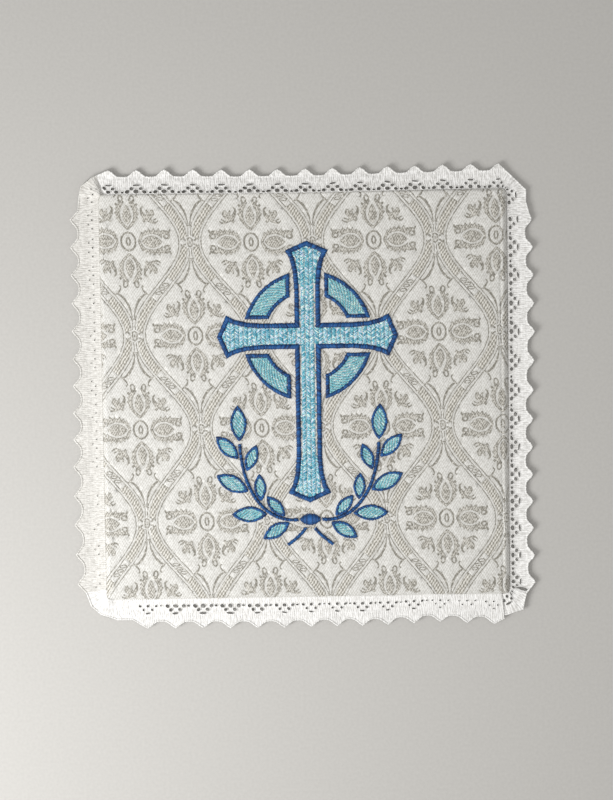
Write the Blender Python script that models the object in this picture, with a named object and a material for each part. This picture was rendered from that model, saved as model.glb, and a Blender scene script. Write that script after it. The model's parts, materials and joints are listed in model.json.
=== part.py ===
"""Chalice pall: a stiff damask-covered square with a scalloped lace edging and an
embroidered cross, its halo, and two laurel sprays.

Metres, +Z up. The origin is the bottom centre of the whole part, which lies on its
flat back with the top of the emblem towards +Y. Every size below is in millimetres.
"""

import math
from collections import namedtuple

import bmesh
import bpy
from mathutils import Vector

MM = 0.001
CLEARANCE = 0.3

# Covered square: a 150 mm cloth over a stiff card, its four corners a little out of true.
COVER_SIDE = 150.0
HALF = COVER_SIDE / 2
CORNER_RADIUS = 2.6
CORNER_STEPS = 6
Corner = namedtuple("Corner", "name across up")
COVER_CORNERS = (
    Corner("bottom_right", HALF - 0.2, -HALF),
    Corner("top_right", HALF + 0.1, HALF),
    Corner("top_left", -HALF, HALF + 0.1),
    Corner("bottom_left", 0.2 - HALF, 0.1 - HALF),
)
# Rows of the edge's rounded section, from the flat back up over the seam to the flat top.
Step = namedtuple("Step", "inset height")
COVER_SECTION = (
    Step(1.7, 0.0),
    Step(0.5, 0.35),
    Step(0.0, 0.8),
    Step(0.0, 1.8),
    Step(0.5, 2.5),
    Step(1.5, 3.1),
    Step(2.8, 3.4),
)
COVER_TOP = COVER_SECTION[-1].height

# Lace edging: one strip sewn round the seam, its ends meeting at the bottom right corner.
LACE_THICKNESS = 1.0
LACE_SEAM_HEIGHT = 0.8
LACE_KNEE = 4.2
SCALLOP_STEPS = 6
TIP_ROUNDING = 0.22
# Each side runs from one corner to the next; first and last give the end tips along it.
Side = namedtuple("Side", "name first last tips tip_reach valley_reach")
LACE_SIDES = (
    Side("right", 4.2, 137.8, 14, 9.6, 7.2),
    Side("top", 2.9, 147.0, 15, 8.6, 6.3),
    Side("left", 9.3, 143.0, 14, 10.4, 7.8),
    Side("bottom", 14.9, 142.8, 14, 10.1, 7.8),
)
# Where the strip turns a corner: seam gives the place along the side before the corner
# (below 0) or after it (above 0), across and up the edge's place from that corner.
Turn = namedtuple("Turn", "corner seam across up")
LACE_TURNS = (
    Turn("bottom_right", -2.2, -1.5, -9.0),
    Turn("bottom_right", -1.2, 2.0, -6.8),
    Turn("bottom_right", 0.0, 4.9, -6.1),
    Turn("bottom_right", 1.2, 5.6, -2.7),
    Turn("bottom_right", 2.6, 6.3, 0.2),
    Turn("top_right", -9.0, 8.3, -9.0),
    Turn("top_right", -4.0, 7.2, -5.0),
    Turn("top_right", -1.5, 7.3, -0.7),
    Turn("top_right", 0.0, 4.6, 2.0),
    Turn("top_right", 1.5, 0.9, 5.6),
    Turn("top_left", -1.5, -0.6, 6.6),
    Turn("top_left", 0.0, -6.3, 2.6),
    Turn("top_left", 2.0, -7.2, -1.6),
    Turn("top_left", 5.0, -7.7, -6.4),
    Turn("bottom_left", -4.0, -7.6, 2.8),
    Turn("bottom_left", -1.4, -5.7, -2.4),
    Turn("bottom_left", 0.0, -2.2, -5.4),
    Turn("bottom_left", 3.0, 4.0, -7.6),
    Turn("bottom_left", 8.5, 9.6, -7.6),
)
LACE_END = Turn("bottom_right", -2.8, -2.2, -9.3)

# Embroidery, raised above the cover. Places are measured from the middle of the emblem,
# which is sewn a little to the right of and above the middle of the square.
EMBLEM_MIDDLE = Vector((1.1, 0.7))
STITCH_BASE = COVER_TOP + CLEARANCE
BORDER_EDGE = 0.25
BORDER_CROWN = 0.6
FIELD_HEIGHT = 0.4
FIELD_BEVEL = 0.25

# Cross: rows of an arm's outline by distance back from its pointed end.
CROSS_CENTRE = (0.0, 21.0)
CROSS_BORDER = 1.9
CROSS_HALF_WIDTH = 4.8
ArmRow = namedtuple("ArmRow", "back half_width")
ARM_END = (
    ArmRow(0.0, 0.0),
    ArmRow(3.6, 8.0),
    ArmRow(7.0, 6.3),
    ArmRow(11.0, 5.3),
    ArmRow(17.0, 4.8),
)
Arm = namedtuple("Arm", "name turn length")
CROSS_ARMS = (
    Arm("right", 0.0, 33.5),
    Arm("top", 90.0, 35.0),
    Arm("left", 180.0, 33.5),
    Arm("foot", 270.0, 61.5),
)

# Halo: four quarter bands between the arms.
HALO_INNER = 15.6
HALO_OUTER = 24.0
HALO_BORDER = 1.5
HALO_ARM_GAP = 1.5
HALO_STEPS = 8

# Laurel sprays: a stem each side of a tie, leaves in pairs along it and one at its end.
TIE_CENTRE = (0.0, -46.6)
TIE_SIZE = (7.4, 4.6)
TIE_POINTS = 20
STEM_WIDTH = 1.3
STEM_CONTROLS = ((4.2, -46.6), (15.0, -48.0), (24.8, -38.0), (25.6, -18.5))
STEM_STEPS = 18
TAIL_CONTROLS = ((1.6, -49.5), (3.0, -52.0), (5.4, -53.6), (8.2, -55.9))
TAIL_STEPS = 6
LEAF_LENGTH = 13.4
LEAF_WIDTH = 6.2
LEAF_STEPS = 8
LEAF_SPREAD = 36.0
# Share is the place along the stem; side is 1 outside the curve, -1 inside and 0 at its end.
Leaf = namedtuple("Leaf", "share side size")
LEAVES = (
    Leaf(0.10, 1, 0.86),
    Leaf(0.16, -1, 0.76),
    Leaf(0.36, 1, 0.98),
    Leaf(0.50, -1, 0.76),
    Leaf(0.64, 1, 1.0),
    Leaf(0.80, -1, 0.78),
    Leaf(0.90, 1, 0.88),
    Leaf(1.0, 0, 1.0),
)

# Colours are linear red, green and blue.
Finish = namedtuple("Finish", "color roughness")
FINISHES = {
    "damask": Finish((0.62, 0.60, 0.55), 0.7),
    "lace": Finish((0.85, 0.84, 0.80), 0.85),
    "blue_thread": Finish((0.02, 0.10, 0.42), 0.4),
    "cyan_thread": Finish((0.09, 0.50, 0.66), 0.35),
    "aqua_thread": Finish((0.28, 0.62, 0.64), 0.4),
}


def clear_scene():
    """Remove every object that the scene starts with."""
    for thing in list(bpy.data.objects):
        bpy.data.objects.remove(thing, do_unlink=True)


def material(name):
    """Return the named finish as a Principled material."""
    found = bpy.data.materials.get(name)
    if found:
        return found
    finish = FINISHES[name]
    made = bpy.data.materials.new(name)
    made.use_nodes = True
    shader = made.node_tree.nodes["Principled BSDF"]
    shader.inputs["Base Color"].default_value = (*finish.color, 1.0)
    shader.inputs["Roughness"].default_value = finish.roughness
    shader.inputs["Metallic"].default_value = 0.0
    made.diffuse_color = (*finish.color, 1.0)
    return made


def bezier(controls, steps):
    """Return steps + 1 points along the cubic curve of four control points."""
    start, pull, lead, end = (Vector(point) for point in controls)
    points = []
    for step in range(steps + 1):
        t = step / steps
        s = 1.0 - t
        points.append(s**3 * start + 3 * s * s * t * pull + 3 * s * t * t * lead + t**3 * end)
    return points


def turned(point, degrees, centre=(0.0, 0.0)):
    """Return a point turned about the origin and then moved to centre."""
    angle = math.radians(degrees)
    x = point[0] * math.cos(angle) - point[1] * math.sin(angle)
    y = point[0] * math.sin(angle) + point[1] * math.cos(angle)
    return Vector((centre[0] + x, centre[1] + y))


def inset(outline, distance):
    """Return a closed anticlockwise outline moved inwards by distance."""
    moved = []
    count = len(outline)
    for index, point in enumerate(outline):
        before = (point - outline[index - 1]).normalized()
        after = (outline[(index + 1) % count] - point).normalized()
        inward = Vector((-before.y - after.y, before.x + after.x)).normalized()
        lean = max(inward.dot(Vector((-after.y, after.x))), 0.5)
        moved.append(point + inward * distance / lean)
    return moved


def ring(outline, height):
    """Return an outline as points at one height."""
    return [Vector((point[0], point[1], height)) for point in outline]


def loft(name, rings, finish, closed=False, sharp=35.0):
    """Make one solid through rings of equal count.

    The rings are capped at both ends, or joined last to first when closed.
    """
    mesh = bmesh.new()
    rows = [[mesh.verts.new(Vector(point) * MM) for point in row] for row in rings]
    count = len(rows[0])
    pairs = list(zip(rows, rows[1:]))
    if closed:
        pairs.append((rows[-1], rows[0]))
    else:
        mesh.faces.new(rows[0])
        mesh.faces.new(rows[-1])
    for lower, upper in pairs:
        for k in range(count):
            after = (k + 1) % count
            mesh.faces.new((lower[k], lower[after], upper[after], upper[k]))
    bmesh.ops.recalc_face_normals(mesh, faces=mesh.faces)
    data = bpy.data.meshes.new(name)
    mesh.to_mesh(data)
    mesh.free()
    data.shade_smooth()
    data.set_sharp_from_angle(angle=math.radians(sharp))
    data.materials.append(material(finish))
    made = bpy.data.objects.new(name, data)
    bpy.context.collection.objects.link(made)
    return made


def cover_outline():
    """Return the seam line of the covered square, its corners rounded."""
    corners = [Vector((corner.across, corner.up)) for corner in COVER_CORNERS]
    outline = []
    for index, corner in enumerate(corners):
        back = (corners[index - 1] - corner).normalized()
        ahead = (corners[(index + 1) % len(corners)] - corner).normalized()
        middle = corner + (back + ahead) * CORNER_RADIUS
        for step in range(CORNER_STEPS + 1):
            angle = math.pi / 2 * step / CORNER_STEPS
            away = -back * math.sin(angle) - ahead * math.cos(angle)
            outline.append(middle + away * CORNER_RADIUS)
    return outline


def make_cover():
    """Make the damask-covered square with its flat back and rounded edge."""
    seam = cover_outline()
    rings = [ring(inset(seam, step.inset), step.height) for step in COVER_SECTION]
    return loft("pall_body", rings, "damask", sharp=50.0)


def scallop(share):
    """Return 1 at a scallop's tip and 0 in the valley, share being 0 to 1 from tip to tip."""
    swing = math.hypot(math.sin(math.pi * share), TIP_ROUNDING)
    return 1.0 - (swing - TIP_ROUNDING) / (math.hypot(1.0, TIP_ROUNDING) - TIP_ROUNDING)


def seam_place(start, end, along):
    """Return the place beside the seam and the outward direction, along mm from start."""
    run = (end - start).normalized()
    outward = Vector((run.y, -run.x))
    length = (end - start).length
    near = min(along, length - along)
    short = max(CORNER_RADIUS - near, 0.0)
    drop = CORNER_RADIUS - math.sqrt(max(CORNER_RADIUS**2 - short**2, 0.0))
    return start + run * along + outward * (CLEARANCE - drop), outward


def lace_section(inner, edge):
    """Return the strip's section from the seam down to the surface and out to its edge."""
    out = edge - inner
    knee = inner + out * min(LACE_KNEE / out.length, 0.6)
    return [
        Vector((*inner, LACE_SEAM_HEIGHT)),
        Vector((*knee, 0.0)),
        Vector((*edge, 0.0)),
        Vector((*edge, LACE_THICKNESS)),
        Vector((*knee, LACE_THICKNESS)),
        Vector((*inner, LACE_SEAM_HEIGHT + LACE_THICKNESS)),
    ]


def turn_sections(corner_index):
    """Return the lace sections round one corner of the square."""
    corner = COVER_CORNERS[corner_index]
    places = [Vector((item.across, item.up)) for item in COVER_CORNERS]
    here = places[corner_index]
    before = places[corner_index - 1]
    after = places[(corner_index + 1) % len(places)]
    sections = []
    for turn in LACE_TURNS:
        if turn.corner != corner.name:
            continue
        edge = here + Vector((turn.across, turn.up))
        if turn.seam < 0.0:
            inner, _ = seam_place(before, here, (here - before).length + turn.seam)
        elif turn.seam > 0.0:
            inner, _ = seam_place(here, after, turn.seam)
        else:
            towards = (before - here).normalized() + (after - here).normalized()
            middle = here + towards * CORNER_RADIUS
            inner = middle - towards.normalized() * (CORNER_RADIUS + CLEARANCE)
        sections.append(lace_section(inner, edge))
    return sections


def side_sections(side, start, end):
    """Return the lace sections of one side's scallops, from its first tip to its last."""
    pitch = (side.last - side.first) / (side.tips - 1)
    sections = []
    for step in range((side.tips - 1) * SCALLOP_STEPS + 1):
        share = step / SCALLOP_STEPS
        reach = side.valley_reach + (side.tip_reach - side.valley_reach) * scallop(share)
        inner, outward = seam_place(start, end, side.first + share * pitch)
        sections.append(lace_section(inner, inner + outward * (reach - CLEARANCE)))
    return sections


def make_lace():
    """Make the lace edging as one strip from end to end round the square."""
    places = [Vector((item.across, item.up)) for item in COVER_CORNERS]
    sections = []
    for index, side in enumerate(LACE_SIDES):
        sections += turn_sections(index)
        sections += side_sections(side, places[index], places[(index + 1) % len(places)])
    run = (places[0] - places[-1]).length
    inner, _ = seam_place(places[-1], places[0], run + LACE_END.seam)
    sections.append(lace_section(inner, places[0] + Vector((LACE_END.across, LACE_END.up))))
    return loft("lace_edging", sections, "lace", sharp=60.0)


def on_cover(outline):
    """Return an outline of the emblem moved to its place on the cover."""
    return [point + EMBLEM_MIDDLE for point in outline]


def make_border(name, outline, width, finish="blue_thread"):
    """Make a crowned satin border inside a closed outline."""
    outline = on_cover(outline)
    rings = [
        ring(outline, STITCH_BASE),
        ring(outline, STITCH_BASE + BORDER_EDGE),
        ring(inset(outline, width / 2), STITCH_BASE + BORDER_CROWN),
        ring(inset(outline, width), STITCH_BASE + BORDER_EDGE),
        ring(inset(outline, width), STITCH_BASE),
    ]
    return loft(name, rings, finish, closed=True)


def make_field(name, outline, finish):
    """Make a flat filled area with a bevelled rim."""
    outline = on_cover(outline)
    rings = [
        ring(outline, STITCH_BASE),
        ring(outline, STITCH_BASE + FIELD_HEIGHT - FIELD_BEVEL),
        ring(inset(outline, FIELD_BEVEL), STITCH_BASE + FIELD_HEIGHT),
    ]
    return loft(name, rings, finish)


def make_stem(name, controls, steps, side):
    """Make a stem of even width along a curve, side being 1 or -1 for right or left."""
    line = on_cover([Vector((point.x * side, point.y)) for point in bezier(controls, steps)])
    sections = []
    for index, point in enumerate(line):
        ahead = line[min(index + 1, steps)] - line[max(index - 1, 0)]
        across = Vector((-ahead.y, ahead.x)).normalized() * STEM_WIDTH / 2
        sections.append([
            Vector((*(point - across), STITCH_BASE)),
            Vector((*(point + across), STITCH_BASE)),
            Vector((*(point + across), STITCH_BASE + BORDER_EDGE)),
            Vector((*point, STITCH_BASE + BORDER_CROWN)),
            Vector((*(point - across), STITCH_BASE + BORDER_EDGE)),
        ])
    return loft(name, sections, "blue_thread")


def cross_outline():
    """Return the anticlockwise outline of the cross."""
    outline = []
    for arm in CROSS_ARMS:
        right = [(arm.length - row.back, -row.half_width) for row in reversed(ARM_END)]
        left = [(arm.length - row.back, row.half_width) for row in ARM_END[1:]]
        root = (CROSS_HALF_WIDTH, -CROSS_HALF_WIDTH)
        for point in [root, *right, *left]:
            outline.append(turned(point, arm.turn, CROSS_CENTRE))
    return outline


def halo_outline(quarter):
    """Return the outline of one halo band, its ends beside the arms."""
    gap = CROSS_HALF_WIDTH + HALO_ARM_GAP
    outline = []
    for radius, direction in ((HALO_OUTER, 1), (HALO_INNER, -1)):
        low = math.degrees(math.asin(gap / radius))
        for step in range(HALO_STEPS + 1):
            share = step / HALO_STEPS
            angle = low + (90.0 - 2.0 * low) * (share if direction > 0 else 1.0 - share)
            outline.append(turned((radius, 0.0), quarter * 90.0 + angle, CROSS_CENTRE))
    return outline


def oval_outline(centre, size, count):
    """Return the outline of an oval."""
    angles = [2.0 * math.pi * k / count for k in range(count)]
    return [
        Vector((centre[0] + size[0] / 2 * math.cos(a), centre[1] + size[1] / 2 * math.sin(a)))
        for a in angles
    ]


def leaf_outline(leaf, side):
    """Return the outline of one pointed leaf on the right (side 1) or left (-1) spray."""
    line = bezier(STEM_CONTROLS, 200)
    index = min(int(leaf.share * 200), 199)
    heading = (line[index + 1] - line[index]).normalized()
    outward = Vector((heading.y, -heading.x)) * leaf.side
    spread = math.radians(LEAF_SPREAD) * abs(leaf.side)
    axis = heading * math.cos(spread) + outward * math.sin(spread)
    across = Vector((-axis.y, axis.x))
    clear = STEM_WIDTH / 2 + CLEARANCE
    root = line[index + 1] + (outward * clear if leaf.side else heading * clear)
    length = LEAF_LENGTH * leaf.size
    half = LEAF_WIDTH * leaf.size / 2
    shares = [k / LEAF_STEPS for k in range(LEAF_STEPS + 1)]
    right = [(share * length, -half * math.sin(math.pi * share) ** 0.85) for share in shares[:-1]]
    left = [(share * length, half * math.sin(math.pi * share) ** 0.85) for share in shares[:0:-1]]
    points = [root + axis * along + across * out for along, out in right + left]
    placed = [Vector((point.x * side, point.y)) for point in points]
    return placed if side > 0 else placed[::-1]


def make_cross():
    """Make the cross: its satin border and its filled field."""
    outline = cross_outline()
    make_border("cross_border", outline, CROSS_BORDER)
    make_field("cross_field", inset(outline, CROSS_BORDER + CLEARANCE), "cyan_thread")


def make_halo():
    """Make the four halo bands, each a border round a field."""
    for quarter in range(4):
        outline = halo_outline(quarter)
        make_border(f"halo_border_{quarter + 1}", outline, HALO_BORDER)
        make_field(
            f"halo_field_{quarter + 1}", inset(outline, HALO_BORDER + CLEARANCE), "aqua_thread"
        )


def make_sprays():
    """Make both laurel sprays and the tie between them."""
    make_field("spray_tie", oval_outline(TIE_CENTRE, TIE_SIZE, TIE_POINTS), "blue_thread")
    for side, word in ((1, "right"), (-1, "left")):
        make_stem(f"stem_{word}", STEM_CONTROLS, STEM_STEPS, side)
        make_stem(f"tail_{word}", TAIL_CONTROLS, TAIL_STEPS, side)
        for number, leaf in enumerate(LEAVES, 1):
            make_field(f"leaf_{word}_{number}", leaf_outline(leaf, side), "aqua_thread")


def centre_part():
    """Move every solid together so that the origin is the bottom centre of the part."""
    things = list(bpy.context.collection.objects)
    corners = [vertex.co for thing in things for vertex in thing.data.vertices]
    shift = [(min(c[k] for c in corners) + max(c[k] for c in corners)) / 2 for k in (0, 1)]
    for thing in things:
        for vertex in thing.data.vertices:
            vertex.co -= Vector((*shift, 0.0))


def main():
    """Build the pall."""
    clear_scene()
    make_cover()
    make_lace()
    make_cross()
    make_halo()
    make_sprays()
    centre_part()


main()
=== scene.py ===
"""Looks of a chalice pall: damask cover, lace edging and satin-stitched emblem.

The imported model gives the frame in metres; sizes here are in millimetres, as a maker
would note them, and MM turns them into metres. The pall lies on its flat back, +Z up,
with the top of the emblem towards +Y.
"""

import json
import logging
import math
from dataclasses import dataclass, field
from enum import Enum
from typing import Any

import bmesh
import bpy
import numpy as np
from mathutils import Euler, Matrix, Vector
from mathutils.geometry import delaunay_2d_cdt

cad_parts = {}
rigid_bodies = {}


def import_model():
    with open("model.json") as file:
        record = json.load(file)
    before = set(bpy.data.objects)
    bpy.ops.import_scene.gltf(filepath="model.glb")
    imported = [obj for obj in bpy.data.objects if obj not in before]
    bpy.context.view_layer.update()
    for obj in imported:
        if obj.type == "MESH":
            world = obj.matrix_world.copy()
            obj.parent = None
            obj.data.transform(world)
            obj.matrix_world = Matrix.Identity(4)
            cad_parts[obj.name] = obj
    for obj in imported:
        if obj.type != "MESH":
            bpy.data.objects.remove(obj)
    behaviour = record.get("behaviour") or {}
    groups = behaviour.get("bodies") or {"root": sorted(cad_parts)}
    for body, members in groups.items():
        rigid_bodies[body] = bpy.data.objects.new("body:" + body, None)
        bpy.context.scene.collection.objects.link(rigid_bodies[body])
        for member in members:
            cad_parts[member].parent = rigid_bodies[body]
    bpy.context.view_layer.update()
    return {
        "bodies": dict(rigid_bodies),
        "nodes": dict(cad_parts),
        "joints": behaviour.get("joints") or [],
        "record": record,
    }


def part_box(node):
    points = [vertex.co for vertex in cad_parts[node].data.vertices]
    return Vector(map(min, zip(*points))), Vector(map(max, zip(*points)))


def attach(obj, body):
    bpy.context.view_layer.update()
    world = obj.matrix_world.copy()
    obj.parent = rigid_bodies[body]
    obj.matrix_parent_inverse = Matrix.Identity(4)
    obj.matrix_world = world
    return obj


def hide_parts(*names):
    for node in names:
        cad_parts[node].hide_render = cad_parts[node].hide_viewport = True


MM = 0.001
BODY = "root"
log = logging.getLogger("pall")


def linear(red: int, green: int, blue: int) -> tuple[float, float, float, float]:
    """Turn a screen colour of 0 to 255 into a shader's colour.

    Args:
        red: The red part.
        green: The green part.
        blue: The blue part.

    Returns:
        The colour in linear light, with an alpha of 1.
    """
    parts = [(part / 255 + 0.055) / 1.055 for part in (red, green, blue)]
    return (*[part**2.4 for part in parts], 1.0)


class Graph:
    """Builds one Principled material out of short calls."""

    def __init__(self, name: str, place: str = "") -> None:
        """Start a material.

        Args:
            name: Its name.
            place: The mesh's own places that it is laid by, the object's if not named.
        """
        self.material = bpy.data.materials.new(name)
        self.material.use_nodes = True
        self.tree = self.material.node_tree
        self.shader = self.tree.nodes["Principled BSDF"]
        if place:
            self.place = self.node("ShaderNodeAttribute", attribute_name=place).outputs["Vector"]
        else:
            self.place = self.node("ShaderNodeTexCoord").outputs["Object"]

    def node(self, kind: str, **settings: Any) -> bpy.types.Node:
        """Add a node.

        Args:
            kind: The node's type.
            settings: Its properties by name.

        Returns:
            The new node.
        """
        made = self.tree.nodes.new(kind)
        for name, value in settings.items():
            setattr(made, name, value)
        return made

    def feed(self, socket: bpy.types.NodeSocket, value: Any) -> None:
        """Link an output to a socket, or set the socket to a plain value.

        Args:
            socket: The socket.
            value: The output or the value.
        """
        if isinstance(value, bpy.types.NodeSocket):
            self.tree.links.new(value, socket)
        else:
            socket.default_value = value

    def math(self, operation: str, *values: Any) -> bpy.types.NodeSocket:
        """Add a Math node.

        Args:
            operation: What it works out.
            values: Outputs or numbers for its inputs, in order.

        Returns:
            Its output.
        """
        made = self.node("ShaderNodeMath", operation=operation)
        for socket, value in zip(made.inputs, values):
            self.feed(socket, value)
        return made.outputs[0]

    def stripes(self, angle: float, pitch: float, shift: Any = 0.0) -> bpy.types.NodeSocket:
        """Draw soft parallel lines across the surface.

        Args:
            angle: The lines' direction in degrees from +X.
            pitch: The distance from line to line in millimetres.
            shift: An output or number that moves the lines, in turns of 2 pi.

        Returns:
            A value from 0 to 1 across each line.
        """
        turn = math.radians(angle + 90.0)
        per_metre = 2.0 * math.pi / (pitch * MM)
        across = self.node("ShaderNodeVectorMath", operation="DOT_PRODUCT")
        self.feed(across.inputs[0], self.place)
        across.inputs[1].default_value = (
            math.cos(turn) * per_metre,
            math.sin(turn) * per_metre,
            0.0,
        )
        wave = self.math("SINE", self.math("ADD", across.outputs["Value"], shift))
        return self.math("MULTIPLY_ADD", wave, 0.5, 0.5)

    def noise(self, size: float, detail: float = 2.0, stretch: tuple = (1, 1, 1)) -> Any:
        """Add soft random spots.

        Args:
            size: The spots' size in millimetres.
            detail: How many finer layers they have.
            stretch: How much finer they are along each axis.

        Returns:
            A value around 0.5.
        """
        sized = self.node("ShaderNodeVectorMath", operation="MULTIPLY")
        self.feed(sized.inputs[0], self.place)
        sized.inputs[1].default_value = [part / (size * MM) for part in stretch]
        made = self.node("ShaderNodeTexNoise")
        self.feed(made.inputs["Vector"], sized.outputs[0])
        made.inputs["Scale"].default_value = 1.0
        made.inputs["Detail"].default_value = detail
        return made.outputs["Fac"]

    def blend(self, share: Any, first: Any, second: Any) -> bpy.types.NodeSocket:
        """Mix two colours.

        Args:
            share: How much of the second shows.
            first: The first colour.
            second: The second colour.

        Returns:
            The mixed colour.
        """
        made = self.node("ShaderNodeMix", data_type="RGBA")
        # Its colour inputs are numbers 6 and 7, after those for numbers and vectors.
        for index, value in ((0, share), (6, first), (7, second)):
            self.feed(made.inputs[index], value)
        return made.outputs[2]

    def range(self, value: Any, low: float, high: float) -> bpy.types.NodeSocket:
        """Stretch a part of a value over 0 to 1.

        Args:
            value: The value.
            low: What becomes 0.
            high: What becomes 1.

        Returns:
            The stretched value.
        """
        made = self.node("ShaderNodeMapRange")
        for socket, amount in zip(made.inputs, (value, low, high, 0.0, 1.0)):
            self.feed(socket, amount)
        return made.outputs[0]

    def bump(self, height: Any, depth: float) -> None:
        """Raise the surface.

        Args:
            height: An output from 0 to 1.
            depth: How far apart those heights are in millimetres.
        """
        made = self.node("ShaderNodeBump")
        made.inputs["Strength"].default_value = 1.0
        made.inputs["Distance"].default_value = depth * MM
        self.feed(made.inputs["Height"], height)
        self.feed(self.shader.inputs["Normal"], made.outputs[0])

    def settings(self, **values: Any) -> None:
        """Set the shader's plain sockets, an underscore standing for a space."""
        for name, value in values.items():
            self.shader.inputs[name.replace("_", " ")].default_value = value


class Weave(Enum):
    """The weaves of the damask: its satin ground, its figure and the ribbon's twill."""

    GROUND = 0
    FIGURE = 1
    BAND = 2


@dataclass(frozen=True)
class DamaskFinish:
    """Damask of one weave: broken twill lines, speckled by its slubs, a satin gloss, and painted shade
    in the groove where figure and ground meet.
    """

    name: str
    light: tuple
    dark: tuple
    # outline is the colour of the painted shade in the groove where figure and ground meet.
    outline: tuple
    pitch: float
    relief: float
    lines: float
    speckle: float
    # How strongly that painted shade is laid over the weave.
    rim: float
    twill_angle: float = 57.0

    def material(self) -> bpy.types.Material:
        """Make the cloth's material.

        Returns:
            The material.
        """
        graph = Graph(self.name)
        drift = graph.math("MULTIPLY", graph.noise(1.3), 4.0)
        twill = graph.stripes(self.twill_angle, self.pitch, drift)
        counter = graph.stripes(-self.twill_angle, self.pitch * 1.25, drift)
        broken = graph.math("MULTIPLY_ADD", counter, 0.35, graph.math("MULTIPLY", twill, 0.65))
        fine = graph.range(graph.noise(0.5, 0.0), 0.40, 0.60)
        coarse = graph.range(graph.noise(0.85, 0.0), 0.40, 0.60)
        spots = graph.math("MULTIPLY_ADD", fine, 0.5, graph.math("MULTIPLY", coarse, 0.5))
        mixed = graph.math(
            "MULTIPLY_ADD", broken, self.lines, graph.math("MULTIPLY", spots, self.speckle)
        )
        total = self.lines + self.speckle
        shade = graph.range(mixed, 0.25 * total, 0.75 * total)
        base = graph.blend(shade, self.dark, self.light)
        # Painted shade: the groove where figure and ground meet is darkened towards the outline colour.
        edge = graph.node("ShaderNodeAttribute", attribute_name="weave_edge").outputs["Fac"]
        rim = graph.math("MULTIPLY", graph.range(edge, 0.3, 1.0), self.rim)
        groove_shaded_colour = graph.blend(rim, base, self.outline)
        graph.feed(graph.shader.inputs["Base Color"], groove_shaded_colour)
        graph.bump(mixed, self.relief)
        graph.settings(Roughness=0.5, Sheen_Weight=0.2, Sheen_Roughness=0.5)
        return graph.material


@dataclass(frozen=True)
class LinenFinish:
    """Plain white linen with a tabby weave."""

    name: str = "back_linen"
    light: tuple = linear(236, 234, 228)
    dark: tuple = linear(206, 203, 196)
    pitch: float = 0.55

    def material(self) -> bpy.types.Material:
        """Make the lining's material.

        Returns:
            The material.
        """
        graph = Graph(self.name)
        drift = graph.math("MULTIPLY", graph.noise(3.0), 3.0)
        warp = graph.stripes(90.0, self.pitch, drift)
        weft = graph.stripes(0.0, self.pitch, drift)
        cells = graph.math("MULTIPLY", warp, weft)
        slubs = graph.noise(0.8, 3.0, (0.2, 1.0, 1.0))
        shade = graph.math("MULTIPLY_ADD", slubs, 0.5, graph.math("MULTIPLY", cells, 0.7))
        graph.feed(
            graph.shader.inputs["Base Color"],
            graph.blend(graph.range(shade, 0.1, 0.8), self.dark, self.light),
        )
        graph.bump(cells, 0.08)
        graph.settings(Roughness=0.85, Sheen_Weight=0.2)
        return graph.material


@dataclass(frozen=True)
class CottonFinish:
    """White cotton thread of the lace, matt and a little fuzzy."""

    name: str
    light: tuple
    dark: tuple

    def material(self) -> bpy.types.Material:
        """Make the lace's material.

        Returns:
            The material.
        """
        graph = Graph(self.name, "strip_place")
        fuzz = graph.noise(0.25, 3.0)
        drift = graph.math("MULTIPLY", graph.noise(1.5, 2.0, (1.0, 0.7, 1.0)), 10.0)
        weft = graph.stripes(86.0, 0.74, drift)
        warp = graph.stripes(0.0, 1.1, drift)
        clumps = graph.range(graph.noise(1.1, 1.0, (1.5, 0.6, 1.0)), 0.3, 0.7)
        cloth = graph.math("MULTIPLY_ADD", weft, 0.8, graph.math("MULTIPLY", warp, 0.2))
        threads = graph.math("MULTIPLY_ADD", clumps, 0.58, graph.math("MULTIPLY", cloth, 0.42))
        shade = graph.math("MULTIPLY_ADD", fuzz, 0.4, graph.math("MULTIPLY", threads, 0.6))
        graph.feed(
            graph.shader.inputs["Base Color"],
            graph.blend(graph.range(shade, 0.28, 0.66), self.dark, self.light),
        )
        graph.bump(graph.math("MULTIPLY_ADD", fuzz, 0.3, threads), 0.2)
        graph.settings(Roughness=0.9, Sheen_Weight=0.3, Sheen_Roughness=0.6)
        return graph.material


@dataclass(frozen=True)
class ThreadFinish:
    """Embroidery thread, each stitch a little different and painted darker at its ends, with painted
    glints of two tints.
    """

    name: str
    shadow: tuple
    light: tuple
    # glint and the tint after it are painted highlights, and glint_share is how much of the thread they
    # cover.
    glint: tuple
    second_glint: tuple
    glint_share: float
    grain: float = 0.1
    gloss: float = 0.5

    def material(self) -> bpy.types.Material:
        """Make the thread's material.

        Returns:
            The material.
        """
        graph = Graph(self.name)
        # The stitch tone is random from stitch to stitch, with painted shade at each stitch's ends.
        tone = graph.node("ShaderNodeAttribute", attribute_name="stitch_tone_and_shade").outputs["Fac"]
        strand = graph.noise(0.12, 2.0)
        grain = graph.range(graph.noise(0.42, 1.0), 0.36, 0.64)
        woven = graph.math("MULTIPLY_ADD", grain, self.grain, graph.math("MULTIPLY", strand, 0.2))
        mixed = graph.math("MULTIPLY_ADD", tone, 0.8 - self.grain, woven)
        body = graph.blend(graph.range(mixed, 0.12, 0.85), self.shadow, self.light)
        # Painted glints: highlight colours laid into the thread's colour in random spots.
        spark = graph.math(
            "MULTIPLY_ADD", graph.noise(0.38, 1.0), 0.8, graph.math("MULTIPLY", tone, 0.2)
        )
        edge = 0.78 - 0.30 * self.glint_share
        share = graph.range(spark, edge - 0.06, edge + 0.05)
        bright = graph.blend(graph.range(graph.noise(0.8, 1.0), 0.42, 0.58), self.glint, self.second_glint)
        graph.feed(graph.shader.inputs["Base Color"], graph.blend(share, body, bright))
        graph.bump(strand, 0.05)
        graph.settings(Roughness=0.45, Specular_IOR_Level=self.gloss, Sheen_Weight=0.05)
        return graph.material


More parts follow.
